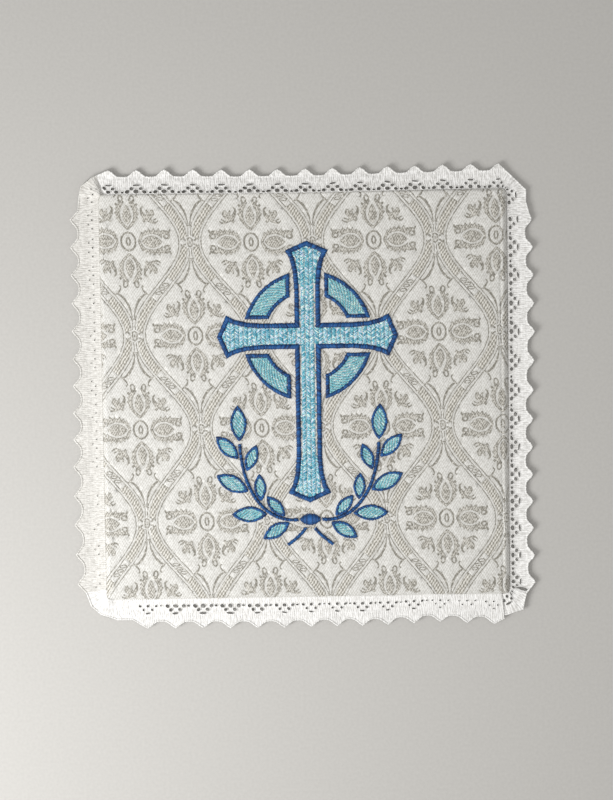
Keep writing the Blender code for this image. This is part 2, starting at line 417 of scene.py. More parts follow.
@dataclass(frozen=True)
class FloorFinish:
    """Plain pale grey floor."""

    name: str = "floor_grey"
    colour: tuple = linear(186, 184, 180)

    def material(self) -> bpy.types.Material:
        """Make the floor's material.

        Returns:
            The material.
        """
        graph = Graph(self.name)
        grain = graph.range(graph.noise(1.1, 4.0), 0.3, 0.7)
        darker = tuple(part * 0.93 for part in self.colour[:3]) + (1.0,)
        graph.feed(graph.shader.inputs["Base Color"], graph.blend(grain, darker, self.colour))
        graph.settings(Roughness=0.8)
        return graph.material


class MeshParts:
    """Points and faces gathered from many small shapes into one mesh."""

    def __init__(self) -> None:
        """Start with nothing."""
        self.points: list[np.ndarray] = []
        self.faces: list[list[int]] = []
        self.tones: list[np.ndarray] = []
        self.places: list[np.ndarray] = []
        self.count = 0

    def add(
        self, points: np.ndarray, faces: np.ndarray, tone: Any = 0.5, place: Any = None
    ) -> None:
        """Add a shape.

        Args:
            points: Its points in millimetres, one row each.
            faces: Its faces as rows of point numbers.
            tone: One number for its shade, or one for each point.
            place: Where each point lies along and across a strip, if it is on one.
        """
        points = np.asarray(points, float)
        self.points.append(points)
        self.faces += (np.asarray(faces, int) + self.count).tolist()
        self.tones.append(np.broadcast_to(np.asarray(tone, float), len(points)))
        self.places.append(points[:, :2] if place is None else place)
        self.count += len(points)

    def mesh(self, name: str, material: bpy.types.Material) -> bpy.types.Object:
        """Make the object.

        Args:
            name: The object's name.
            material: What it is made of.

        Returns:
            The object, linked to the scene.
        """
        data = bpy.data.meshes.new(name)
        data.from_pydata((np.concatenate(self.points) * MM).tolist(), [], self.faces)
        data.materials.append(material)
        data.polygons.foreach_set("use_smooth", [True] * len(self.faces))
        tones = data.attributes.new("stitch_tone_and_shade", "FLOAT", "POINT")
        tones.data.foreach_set("value", np.concatenate(self.tones))
        places = np.concatenate(self.places) * MM
        flat = np.column_stack([places, np.zeros(len(places))])
        data.attributes.new("strip_place", "FLOAT_VECTOR", "POINT")
        data.attributes["strip_place"].data.foreach_set("vector", flat.ravel())
        data.update()
        thing = bpy.data.objects.new(name, data)
        bpy.context.collection.objects.link(thing)
        return thing


def flowing(points: Any, steps: int, closed: bool = False) -> np.ndarray:
    """Draw a smooth curve through points.

    Args:
        points: The points that it passes.
        steps: How many pieces lie between one point and the next.
        closed: Whether it joins its ends.

    Returns:
        The curve's points.
    """
    given = np.asarray(points, float)
    count = len(given)
    if closed:
        around = given[np.arange(-1, count + 2) % count]
    else:
        first = 2 * given[0] - given[1]
        last = 2 * given[-1] - given[-2]
        around = np.vstack([first, given, last])
    t = np.arange(steps)[:, None] / steps
    runs = []
    for k in range(len(around) - 3):
        a, b, c, d = around[k : k + 4]
        runs.append(
            0.5
            * (2 * b + (c - a) * t + (2 * a - 5 * b + 4 * c - d) * t**2 + (3 * b - a - 3 * c + d) * t**3)
        )
    curve = np.vstack(runs)
    return curve if closed else np.vstack([curve, given[-1]])


def normals(line: np.ndarray, closed: bool = False) -> np.ndarray:
    """Work out the left-hand unit normal at each point of a line.

    Args:
        line: The line's points.
        closed: Whether it joins its ends.

    Returns:
        One unit vector for each point.
    """
    if closed:
        ahead = np.roll(line, -1, axis=0) - np.roll(line, 1, axis=0)
    else:
        ahead = np.gradient(line, axis=0)
    across = np.stack([-ahead[:, 1], ahead[:, 0]], axis=1)
    return across / np.linalg.norm(across, axis=1, keepdims=True)


def inset(outline: np.ndarray, distance: float) -> np.ndarray:
    """Move a closed anticlockwise outline inwards.

    Args:
        outline: Its points.
        distance: How far it moves.

    Returns:
        The moved points.
    """
    before = outline - np.roll(outline, 1, axis=0)
    before /= np.linalg.norm(before, axis=1, keepdims=True)
    after = np.roll(before, -1, axis=0)
    inward = np.stack([-before[:, 1] - after[:, 1], before[:, 0] + after[:, 0]], axis=1)
    inward /= np.linalg.norm(inward, axis=1, keepdims=True)
    # At a sharp corner the point moves no more than twice the distance.
    lean = np.maximum(inward[:, 0] * -after[:, 1] + inward[:, 1] * after[:, 0], 0.5)
    return outline + inward * (distance / lean)[:, None]


def oval(centre: tuple, size: tuple, turn: float = 0.0, count: int = 20) -> np.ndarray:
    """Draw an oval.

    Args:
        centre: Its middle.
        size: Its width and height.
        turn: How far it is turned, in degrees.
        count: How many points it has.

    Returns:
        Its points, anticlockwise.
    """
    angle = np.arange(count) * 2.0 * math.pi / count
    flat = np.stack([np.cos(angle) * size[0] / 2, np.sin(angle) * size[1] / 2], axis=1)
    lean = math.radians(turn)
    spin = np.array([[math.cos(lean), math.sin(lean)], [-math.sin(lean), math.cos(lean)]])
    return flat @ spin + np.asarray(centre)


def turned(point: tuple, degrees: float, centre: tuple) -> np.ndarray:
    """Turn a point about the origin and then move it.

    Args:
        point: The point.
        degrees: How far it is turned.
        centre: Where the origin is moved to.

    Returns:
        The new place.
    """
    angle = math.radians(degrees)
    x = point[0] * math.cos(angle) - point[1] * math.sin(angle)
    y = point[0] * math.sin(angle) + point[1] * math.cos(angle)
    return np.array([centre[0] + x, centre[1] + y])


def bezier(controls: tuple, steps: int) -> np.ndarray:
    """Draw a cubic curve.

    Args:
        controls: Its four control points.
        steps: How many pieces it has.

    Returns:
        The points between its pieces, with both ends.
    """
    start, pull, lead, end = (np.array(point) for point in controls)
    t = np.linspace(0.0, 1.0, steps + 1)[:, None]
    r = 1.0 - t
    return r**3 * start + 3 * r * r * t * pull + 3 * r * t * t * lead + t**3 * end


def within(points: np.ndarray, outline: np.ndarray) -> np.ndarray:
    """Tell which points lie inside a closed outline.

    Args:
        points: The points.
        outline: The outline, run either way, and it may cross itself.

    Returns:
        True for each point that it winds round.
    """
    turns = np.zeros(len(points), int)
    near = np.flatnonzero(((points > outline.min(0)) & (points < outline.max(0))).all(1))
    x, y = points[near, 0], points[near, 1]
    for start, end in zip(outline, np.roll(outline, -1, axis=0)):
        side = (end[0] - start[0]) * (y - start[1]) - (x - start[0]) * (end[1] - start[1])
        turns[near] += ((start[1] <= y) & (end[1] > y) & (side > 0)).astype(int)
        turns[near] -= ((start[1] > y) & (end[1] <= y) & (side < 0)).astype(int)
    return turns != 0


def clipped(starts: np.ndarray, ends: np.ndarray, outline: np.ndarray) -> tuple:
    """Shorten lines to the part round their middles that lies inside an outline.

    Args:
        starts: Where they start.
        ends: Where they end.
        outline: The outline.

    Returns:
        The starts and ends of those whose middles lie inside.
    """
    kept = within((starts + ends) / 2, outline)
    starts, ends = starts[kept], ends[kept]
    low, high = np.zeros(len(starts)), np.ones(len(starts))
    run = ends - starts
    for a, b in zip(outline, np.roll(outline, -1, axis=0)):
        wall = b - a
        cross = run[:, 0] * wall[1] - run[:, 1] * wall[0]
        cross = np.where(np.abs(cross) < 1e-9, 1e-9, cross)
        gap = a - starts
        t = (gap[:, 0] * wall[1] - gap[:, 1] * wall[0]) / cross
        u = (gap[:, 0] * run[:, 1] - gap[:, 1] * run[:, 0]) / cross
        hit = (u >= 0) & (u <= 1)
        low = np.where(hit & (t < 0.5), np.maximum(low, t), low)
        high = np.where(hit & (t >= 0.5), np.minimum(high, t), high)
    # What is left of a line is dropped if it is less than a fifth of it.
    long = (high - low) > 0.2
    starts, run, low, high = starts[long], run[long], low[long, None], high[long, None]
    return starts + run * low, starts + run * high


def triangles(rings: list[np.ndarray], loose: np.ndarray) -> tuple[np.ndarray, np.ndarray]:
    """Fill the plane with triangles that follow every ring's edge.

    Args:
        rings: Closed outlines.
        loose: More points to fill the space between them.

    Returns:
        The points and the triangles.
    """
    points, edges = [], []
    for outline in rings:
        start, count = len(points), len(outline)
        points += [Vector(point) for point in outline.tolist()]
        edges += [(start + k, start + (k + 1) % count) for k in range(count)]
    points += [Vector(point) for point in loose.tolist()]
    found = delaunay_2d_cdt(points, edges, [], 0, 1e-5, False)
    return np.array([tuple(point) for point in found[0]]), np.array(found[2])


def tube(path: np.ndarray, radius: Any, closed: bool = False, sides: int = 6) -> tuple:
    """Wrap a round thread about a path that runs mostly level.

    Args:
        path: The path's points in space.
        radius: Its radius, or one for each point.
        closed: Whether it joins its ends.
        sides: How many sides it has.

    Returns:
        The points and the faces.
    """
    across = normals(path[:, :2], closed)
    angle = np.arange(sides) * 2.0 * math.pi / sides
    thick = np.broadcast_to(np.asarray(radius, float), len(path))[:, None, None]
    level = across[:, None, :] * np.cos(angle)[None, :, None] * thick
    lift = np.sin(angle)[None, :, None] * thick
    points = path[:, None, :] + np.concatenate([level, lift], axis=2)
    rows = len(path) if closed else len(path) - 1
    low = (np.arange(rows) * sides)[:, None]
    high = (np.arange(1, rows + 1) % len(path) * sides)[:, None]
    here, after = np.arange(sides)[None, :], (np.arange(sides) + 1)[None, :] % sides
    faces = np.stack([low + here, high + here, high + after, low + after], axis=2)
    return points.reshape(-1, 3), faces.reshape(-1, 4)


@dataclass
class Cover:
    """The covered square: its outline, its rim and the soft unevenness of its cloth."""

    half: float = 75.0
    corner_radius: float = 2.6
    seam_height: float = 1.5
    # How wide the rounded rim is at the right, top, left and bottom.
    rims: tuple = (2.9, 1.5, 1.9, 1.7)
    crease_depth: float = 0.30
    # How far each corner is out of true, in the order of the corners below.
    out_of_true: tuple = ((-0.2, 0.0), (0.1, 0.0), (0.0, 0.1), (0.2, 0.1))
    signs: tuple = ((1, -1), (1, 1), (-1, 1), (-1, -1))
    corners: np.ndarray = field(init=False)
    middle: np.ndarray = field(init=False)
    top: float = field(init=False)

    def __post_init__(self) -> None:
        """Read the square's place and height from the frame."""
        low, high = (np.array(corner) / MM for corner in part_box("pall_body"))
        self.top = float(high[2])
        raw = np.array(self.signs) * self.half + np.array(self.out_of_true)
        self.middle = (low[:2] + high[:2]) / 2 - (raw.min(0) + raw.max(0)) / 2
        self.corners = raw + self.middle

    def gaps(self, points: np.ndarray) -> np.ndarray:
        """Work out how far points lie inside each side of the seam.

        Args:
            points: Places on the square.

        Returns:
            One row for each point: its distance from the right, top, left and bottom.
        """
        found = []
        for index, corner in enumerate(self.corners):
            along = self.corners[(index + 1) % 4] - corner
            along /= np.linalg.norm(along)
            away = points - corner
            found.append(along[0] * away[:, 1] - along[1] * away[:, 0])
        return np.stack(found, axis=1)

    def height(self, points: np.ndarray) -> np.ndarray:
        """Work out the cloth's height at places on the square.

        Args:
            points: The places.

        Returns:
            The heights.
        """
        gaps = self.gaps(points)
        near = np.sort(gaps, axis=1)
        deep = near[:, 0] - 0.35 * np.exp(-near[:, 1] / 1.5)
        share = np.clip((gaps / np.array(self.rims)).min(axis=1), 0.0, 1.0)
        rise = (1.0 - (1.0 - share) ** 2.4) * (self.top - self.seam_height)
        # The uneven filling, the puckers that the seam pulls and the crease at the right rim.
        x, y = points[:, 0], points[:, 1]
        ripple = 0.05 * np.sin(x / 9.0 + y / 23.0) + 0.04 * np.sin(y / 7.0 - x / 31.0 + 1.0)
        pull = 0.07 * np.exp(-((deep - 3.2) ** 2) / 1.4) * np.sin((x + y) / 2.3)
        crease = self.crease_depth * np.exp(-(((gaps[:, 0] - 2.6) / 0.45) ** 2))
        return self.seam_height + rise + (ripple + pull - 0.08) * share - crease


class Sketch:
    """Areas of damask figure and ground, later ones lying over earlier ones."""

    def __init__(self, ragged: float, seed: int) -> None:
        """Start with no areas.

        Args:
            ragged: How uneven the edges of areas are, in millimetres.
            seed: What the unevenness starts from.
        """
        self.areas: list[tuple[Weave, np.ndarray]] = []
        self.loose: list[np.ndarray] = []
        self.ragged = ragged
        self.rng = np.random.default_rng(seed)

    def area(self, weave: Weave, outline: np.ndarray, shaded: bool = False) -> None:
        """Add a closed area.

        Args:
            weave: The weave that it is drawn in.
            outline: Its outline.
            shaded: Whether it is wide enough for the painted shade at its rim to leave its inside
                lighter.
        """
        points = np.asarray(outline, float)
        if shaded:
            ahead = np.roll(points, -1, axis=0)
            area = (points[:, 0] * ahead[:, 1] - ahead[:, 0] * points[:, 1]).sum()
            self.loose.append(inset(points if area > 0 else points[::-1], 0.42))
        points = points + self.rng.normal(0.0, self.ragged, points.shape)
        self.areas.append((weave, points))

    def stroke(self, weave: Weave, points: Any, widths: Any, steps: int = 4) -> None:
        """Add a brush stroke along a smooth line.

        Args:
            weave: The weave that it is drawn in.
            points: The points that its middle passes.
            widths: Its width, or widths spread evenly along it.
            steps: How finely it is drawn.
        """
        line = flowing(points, steps)
        wide = np.atleast_1d(np.asarray(widths, float))
        spread = np.interp(np.linspace(0, 1, len(line)), np.linspace(0, 1, len(wide)), wide)
        side = normals(line) * spread[:, None] / 2
        self.area(weave, np.vstack([line + side, (line - side)[::-1]]))


@dataclass
class DamaskRepeat:
    """One quarter of the ogee repeat, from a medallion's middle to the next one's."""

    pitch: float = 45.0
    repeat: float = 68.4
    # Ribbon: how far it stays off the axis where two of them meet, and its half width.
    kiss: float = 1.75
    ribbon: float = 1.5
    # How much narrower the ribbon is on the side of the clasp, and along what length.
    pinch: float = 0.75
    pinch_reach: float = 4.5
    contour: float = 2.3
    line: float = 0.34
    grid: float = 1.5
    scroll_reach: float = 3.7
    ragged: float = 0.055

    def ribbon_line(self, low: float, high: float, count: int, off: Any = 0.0) -> np.ndarray:
        """Draw the ribbon's middle line, or a line beside it.

        Args:
            low: Where it starts, up from the medallion.
            high: Where it ends.
            count: How many points it has.
            off: How far it, or each of its points, lies off the middle, away from the medallion.

        Returns:
            The line's points.
        """
        y = np.linspace(low, high, count)
        swing = self.pitch / 4 - self.kiss
        x = self.pitch / 4 + swing * np.cos(2 * math.pi * y / self.repeat)
        line = np.stack([x, y], axis=1)
        return line - normals(line) * np.reshape(off, (-1, 1))

    def draw_ribbon(self, sketch: Sketch) -> None:
        """Draw the ribbon, its scroll and the contours beside it.

        Args:
            sketch: What it is drawn on.
        """
        top = self.repeat / 2
        middle = self.repeat / 4
        up = np.linspace(-1, top + 1, 46)
        near = self.ribbon - self.pinch * np.exp(-((up / self.pinch_reach) ** 2))
        sides = [self.ribbon_line(-1, top + 1, 46, off) for off in (-near[::-1], near)]
        sketch.area(Weave.BAND, np.vstack([sides[0], sides[1][::-1]]))
        sketch.loose += [self.ribbon_line(0.3, top - 0.3, 40, off) for off in (-0.9, 0.0, 0.9)]
        low, high = middle - self.scroll_reach, middle + self.scroll_reach
        gap = [self.ribbon_line(low, high, 9, off) for off in (-1.6, 1.6)]
        sketch.area(Weave.GROUND, np.vstack([gap[0], gap[1][::-1]]))
        for off in (-1.25, 1.25):
            sketch.stroke(Weave.FIGURE, self.ribbon_line(low, high, 9, off), 0.3, 1)
        ahead = self.ribbon_line(low, high, 3)
        run = ahead[-1] - ahead[0]
        run /= np.linalg.norm(run)
        lean = math.degrees(math.atan2(run[1], run[0]))
        for along in (-2.0, 0.0, 2.0):
            spot = ahead[1] + run * along
            sketch.area(Weave.FIGURE, oval(spot, (2.9, 1.35), lean + 42, 12))
            sketch.area(Weave.GROUND, oval(spot, (1.9, 0.6), lean + 42, 8))
        for off in (-self.contour, self.contour):
            sketch.stroke(Weave.FIGURE, self.ribbon_line(-1, top + 1, 44, off), self.line, 1)

    def draw_tip(self, sketch: Sketch) -> None:
        """Draw the arch and its serif in the tip above the medallion, and the clasp.

        Args:
            sketch: What they are drawn on.
        """
        arch = ((0.35, 27.7), (0.85, 25.0), (1.8, 22.5), (3.3, 20.3), (5.3, 18.8))
        sketch.stroke(Weave.FIGURE, arch, (0.3, 0.6, 0.85, 0.9, 0.6))
        serif = ((6.5, 19.6), (5.3, 18.7), (4.3, 17.6), (3.9, 16.6), (4.4, 15.9))
        sketch.stroke(Weave.FIGURE, serif, (0.35, 0.7, 0.55, 0.5, 0.7), 3)
        edge = self.pitch / 2
        sketch.area(Weave.GROUND, oval((edge, 0), (1.9, 13.0), 0, 20))
        sketch.area(Weave.GROUND, oval((edge, 0), (6.6, 4.2), 0, 20))
        sketch.area(Weave.FIGURE, oval((edge - 2.1, 1.0), (1.7, 0.75), -35, 10))
        for weave, size in (
            (Weave.FIGURE, (2.4, 3.9)),
            (Weave.GROUND, (1.4, 2.8)),
            (Weave.FIGURE, (0.45, 1.4)),
        ):
            sketch.area(weave, oval((edge, 0), size, 0, 16))
        sketch.stroke(Weave.FIGURE, ((edge - 0.6, 2.2), (edge - 0.4, 3.8), (edge - 0.65, 5.6)), 0.3, 3)
        bracket = ((edge - 1.1, 5.7), (edge - 0.5, 6.1), (edge + 0.5, 6.1), (edge + 1.1, 5.7))
        sketch.stroke(Weave.FIGURE, bracket, 0.36, 2)

    def draw_medallion(self, sketch: Sketch) -> None:
        """Draw the quarter of the medallion: centre, petal, leaf and sprig.

        Args:
            sketch: What it is drawn on.
        """
        self.draw_petal(sketch)
        self.draw_leaf(sketch)
        self.draw_sprig(sketch)
        for weave, size in (
            (Weave.GROUND, (6.8, 8.0)),
            (Weave.FIGURE, (5.9, 7.2)),
            (Weave.GROUND, (4.5, 5.8)),
            (Weave.FIGURE, (2.0, 3.6)),
            (Weave.GROUND, (0.7, 2.0)),
        ):
            sketch.area(weave, oval((0, 0), size, 0, 24))

    def draw_petal(self, sketch: Sketch) -> None:
        """Draw the upright petal with its two buds.

        Args:
            sketch: What it is drawn on.
        """
        outer = (
            (0, 4.2),
            (1.3, 5.1),
            (2.5, 6.4),
            (3.3, 7.6),
            (4.0, 8.4),
            (3.8, 9.4),
            (4.5, 10.2),
            (3.9, 11.0),
            (4.2, 12.0),
            (3.2, 12.7),
            (2.8, 13.9),
        )
        inner = ((0, 5.3), (1.2, 6.4), (2.2, 8.1), (2.4, 10.1), (2.0, 11.9), (1.2, 13.5), (0.9, 15.0))
        core = ((0, 6.0), (1.0, 7.0), (1.6, 8.7), (1.4, 10.4), (0.9, 12.0), (0.0, 13.2))
        for weave, half in ((Weave.FIGURE, outer), (Weave.GROUND, inner), (Weave.FIGURE, core)):
            right = flowing(half, 3)
            left = right[::-1] * np.array([-1, 1])
            sketch.area(weave, np.vstack([right, left]), half is not inner)
        sketch.area(Weave.FIGURE, oval((2.0, 15.1), (2.2, 3.6), -12, 14))
        sketch.area(Weave.GROUND, oval((2.05, 15.5), (0.85, 1.8), -12, 8))
        sketch.area(Weave.FIGURE, oval((3.5, 13.2), (1.5, 0.9), 50, 8))

    def draw_leaf(self, sketch: Sketch) -> None:
        """Draw the leaf beside the centre, with its lobed edge and end curls.

        Args:
            sketch: What it is drawn on.
        """
        lobes = (
            (3.6, 0.0),
            (3.9, 1.3),
            (4.5, 2.5),
            (5.0, 3.6),
            (5.7, 3.1),
            (6.2, 4.4),
            (6.9, 3.7),
            (7.7, 4.9),
            (8.4, 4.0),
            (9.5, 5.1),
            (10.0, 4.1),
            (11.4, 5.0),
            (11.7, 3.9),
            (13.4, 4.5),
            (13.2, 3.4),
        )
        edge = flowing(lobes, 2)
        back = flowing(((13.2, 3.4), (12.4, 2.6), (12.6, 1.2), (13.8, 0.0)), 2)[1:]
        upper = np.vstack([edge, back])
        sketch.area(Weave.FIGURE, np.vstack([upper, upper[::-1] * np.array([1, -1])]), True)
        gap = ((4.5, 0), (5.4, 1.7), (6.9, 2.6), (9.0, 2.85), (10.9, 2.4), (12.6, 1.25), (14.2, 0.6))
        core = ((4.9, 0), (6.1, 1.2), (7.6, 2.0), (9.2, 2.15), (10.8, 1.5), (12.4, 0.0))
        for weave, half in ((Weave.GROUND, gap), (Weave.FIGURE, core)):
            above = flowing(half, 3)
            sketch.area(weave, np.vstack([above, above[::-1] * np.array([1, -1])]), half is core)
        sketch.area(Weave.FIGURE, oval((14.1, 2.2), (2.7, 2.4), 0, 12))
        sketch.area(Weave.GROUND, oval((14.0, 2.1), (1.2, 1.0), 0, 8))
        curl = ((12.7, 3.0), (13.7, 3.9), (15.1, 3.6), (15.5, 4.6))
        sketch.stroke(Weave.FIGURE, curl, (0.6, 0.8, 0.5), 2)

    def draw_sprig(self, sketch: Sketch) -> None:
        """Draw the hooked stem and the leaf that crosses it, between petal and side leaf.

        Args:
            sketch: What it is drawn on.
        """
        stem = ((6.0, 12.7), (5.3, 11.7), (5.6, 10.2), (6.6, 8.8), (8.1, 7.7), (9.7, 6.9))
        sketch.stroke(Weave.FIGURE, stem, (0.5, 0.7, 1.2, 1.6, 1.3, 0.9), 3)
        leaf = ((9.2, 11.6), (9.1, 10.3), (8.1, 9.3), (6.9, 8.4), (5.9, 7.2))
        sketch.stroke(Weave.FIGURE, leaf, (0.8, 2.2, 2.5, 1.8, 0.9), 3)
        sketch.area(Weave.FIGURE, oval((7.5, 10.8), (0.9, 1.9), 28, 10))
        sketch.stroke(Weave.FIGURE, ((9.5, 7.0), (10.4, 7.0), (11.3, 7.7)), (0.8, 0.6, 0.4), 2)
        sketch.stroke(Weave.FIGURE, ((9.2, 7.2), (9.8, 8.0), (10.6, 8.3)), (0.6, 0.6, 0.4), 2)

    def quarter(self) -> tuple[np.ndarray, np.ndarray, np.ndarray]:
        """Lay the figure out as triangles that follow every edge of it.

        Returns:
            The points, the triangles and each triangle's weave.
        """
        wide, tall = self.pitch / 2, self.repeat / 2
        band, bloom = Sketch(self.ragged, 3), Sketch(self.ragged, 4)
        self.draw_ribbon(band)
        self.draw_tip(bloom)
        self.draw_medallion(bloom)
        opposite = np.array([wide, tall])
        areas = band.areas + bloom.areas
        areas += [(weave, opposite - outline) for weave, outline in bloom.areas]
        frame = np.array([(0, 0), (wide, 0), (wide, tall), (0, tall)], float)
        shown = [
            (weave, outline)
            for weave, outline in areas
            if (outline.max(0) > 0).all() and (outline.min(0) < opposite).all()
        ]
        across = np.linspace(0, wide, int(wide / self.grid) + 1)
        up = np.linspace(0, tall, int(tall / self.grid) + 1)
        plain = np.stack(np.meshgrid(across, up), axis=-1).reshape(-1, 2)
        inner = np.vstack(band.loose + bloom.loose + [opposite - line for line in bloom.loose])
        inner = inner[((inner > 0.1) & (inner < opposite - 0.1)).all(1)]
        made, corners = triangles([frame] + [outline for _, outline in shown], np.vstack([plain, inner]))
        middles = made[corners].mean(1)
        weaves = np.zeros(len(corners), int)
        for weave, outline in shown:
            weaves[within(middles, outline)] = weave.value
        kept = within(middles, frame)
        return made, corners[kept], weaves[kept]


@dataclass
class DamaskCover:
    """The damask sheet over the card, with its pattern laid as it was cut."""

    cover: Cover
    # From the square's middle: the first medallion, the step to the next one across, the
    # step to the next row down, and how the step across drifts from row to row.
    first: tuple = (-64.0, 56.57)
    column: tuple = (44.94, 0.10)
    row: tuple = (1.54, -34.19)
    drift: tuple = (-0.233, -0.022)
    columns: int = 4
    rows: tuple = (0, 2, 4)
    rim_cuts: tuple = (0.3, 0.7, 1.2, 1.7, 2.15, 2.6, 3.05)
    corner_cuts: int = 5
    cloth_size: float = 155.0
    groove: float = 0.12
    # How strongly the cloth is drawn out towards the corners, in millimetres.
    corner_pull: float = 1.0
    repeat: DamaskRepeat = field(default_factory=DamaskRepeat)

    def laid(self, points: np.ndarray, column: int, row: int) -> np.ndarray:
        """Move points of the repeat to their place on the square.

        Args:
            points: Places from the middle of a medallion.
            column: Which medallion across.
            row: Which row of medallions down.

        Returns:
            The places on the square.
        """
        u = (column + points[:, 0] / self.repeat.pitch)[:, None]
        w = (row - points[:, 1] / (self.repeat.repeat / 2))[:, None]
        steps = u * np.array(self.column) + w * np.array(self.row) + u * w * np.array(self.drift)
        flat = np.array(self.first) + steps
        x, y = flat[:, 0] / 60.0, flat[:, 1] / 60.0
        pulled = np.stack([0.15 - 0.15 * y, 0.2 * x**2 - 0.2 + y * (0.75 * x**2 - 0.22)], axis=1)
        return self.cover.middle + flat + pulled * self.corner_pull

    def pattern(self) -> tuple[np.ndarray, np.ndarray, np.ndarray]:
        """Lay the repeats side by side over the square.

        Returns:
            The points, the triangles and each triangle's weave.
        """
        points, corners, weaves = self.repeat.quarter()
        all_points, all_faces, all_weaves, count = [], [], [], 0
        for row in self.rows:
            for column in range(self.columns):
                for flip in ((1, 1), (-1, 1), (-1, -1), (1, -1)):
                    placed = self.laid(points * np.array(flip), column, row)
                    faces = corners if flip[0] * flip[1] > 0 else corners[:, ::-1]
                    near = (self.cover.gaps(placed).min(axis=1) > -1.5)[faces].any(1)
                    all_points.append(placed)
                    all_faces.append(faces[near] + count)
                    all_weaves.append(weaves[near])
                    count += len(placed)
        return np.vstack(all_points), np.vstack(all_faces), np.concatenate(all_weaves)

    def cut(self, mesh: bmesh.types.BMesh) -> None:
        """Cut the flat cloth along the seam, and crease it along the rim.

        Args:
            mesh: The flat cloth.
        """
        corners = [Vector((*corner, 0.0)) * MM for corner in self.cover.corners]
        radius = self.cover.corner_radius * MM
        for index, corner in enumerate(corners):
            along = (corners[(index + 1) % 4] - corner).normalized()
            outward = Vector((along.y, -along.x, 0.0))
            bisect(mesh, corner, outward, True)
            for depth in self.rim_cuts:
                bisect(mesh, corner - outward * depth * MM, outward, False)
        for index, corner in enumerate(corners):
            back = (corners[index - 1] - corner).normalized()
            ahead = (corners[(index + 1) % 4] - corner).normalized()
            centre = corner + (back + ahead) * radius
            for step in range(1, self.corner_cuts + 1):
                angle = math.pi / 2 * step / (self.corner_cuts + 1)
                outward = -(back * math.sin(angle) + ahead * math.cos(angle))
                bisect(mesh, centre + outward * radius, outward, True)

    def weave_edge(self, data: bpy.types.Mesh) -> np.ndarray:
        """Mark the points where figure and ground meet.

        Args:
            data: The cloth's mesh.

        Returns:
            1 for each such point and 0 elsewhere.
        """
        corners = np.empty(len(data.loops), int)
        data.loops.foreach_get("vertex_index", corners)
        counts = np.empty(len(data.polygons), int)
        data.polygons.foreach_get("loop_total", counts)
        weaves = np.empty(len(data.polygons), int)
        data.polygons.foreach_get("material_index", weaves)
        each = np.repeat(weaves, counts)
        touched = np.zeros((len(data.vertices), len(Weave)), bool)
        touched[corners, each] = True
        return (touched.sum(1) > 1).astype(float)

    def build(self) -> bpy.types.Object:
        """Make the sheet.

        Returns:
            The damask cover.
        """
        points, faces, weaves = self.pattern()
        data = bpy.data.meshes.new("damask_cover")
        flat = np.column_stack([points, np.zeros(len(points))]) * MM
        data.from_pydata(flat.tolist(), [], faces.tolist())
        data.polygons.foreach_set("material_index", weaves)
        mesh = bmesh.new()
        mesh.from_mesh(data)
        bmesh.ops.remove_doubles(mesh, verts=mesh.verts, dist=0.012 * MM)
        self.cut(mesh)
        loose = [vertex for vertex in mesh.verts if not vertex.link_faces]
        bmesh.ops.delete(mesh, geom=loose, context="VERTS")
        mesh.to_mesh(data)
        mesh.free()
        place = np.empty(len(data.vertices) * 3)
        data.vertices.foreach_get("co", place)
        place = place.reshape(-1, 3) / MM
        edge = self.weave_edge(data)
        place[:, 2] = self.cover.height(place[:, :2]) - self.groove * edge
        data.vertices.foreach_set("co", (place * MM).ravel())
        data.attributes.new("weave_edge", "FLOAT", "POINT").data.foreach_set("value", edge)
        data.polygons.foreach_set("use_smooth", [True] * len(data.polygons))
        for finish in (GROUND_FINISH, FIGURE_FINISH, BAND_FINISH):
            data.materials.append(finish.material())
        data.update()
        thing = bpy.data.objects.new("damask_cover", data)
        bpy.context.collection.objects.link(thing)
        return thing


def bisect(mesh: bmesh.types.BMesh, place: Vector, normal: Vector, clear: bool) -> None:
    """Cut a mesh along a plane.

    Args:
        mesh: What is cut.
        place: A point on the plane.
        normal: The plane's direction.
        clear: Whether what lies beyond it is cut off.
    """
    geometry = list(mesh.verts) + list(mesh.edges) + list(mesh.faces)
    if not clear:
        reach = 2.0 * MM
        near = {
            face
            for face in mesh.faces
            if abs((face.calc_center_median() - place).dot(normal)) < reach
        }
        edges = {edge for face in near for edge in face.edges}
        verts = {vert for face in near for vert in face.verts}
        geometry = list(verts) + list(edges) + list(near)
    bmesh.ops.bisect_plane(
        mesh, geom=geometry, dist=1e-7, plane_co=place, plane_no=normal, clear_outer=clear
    )


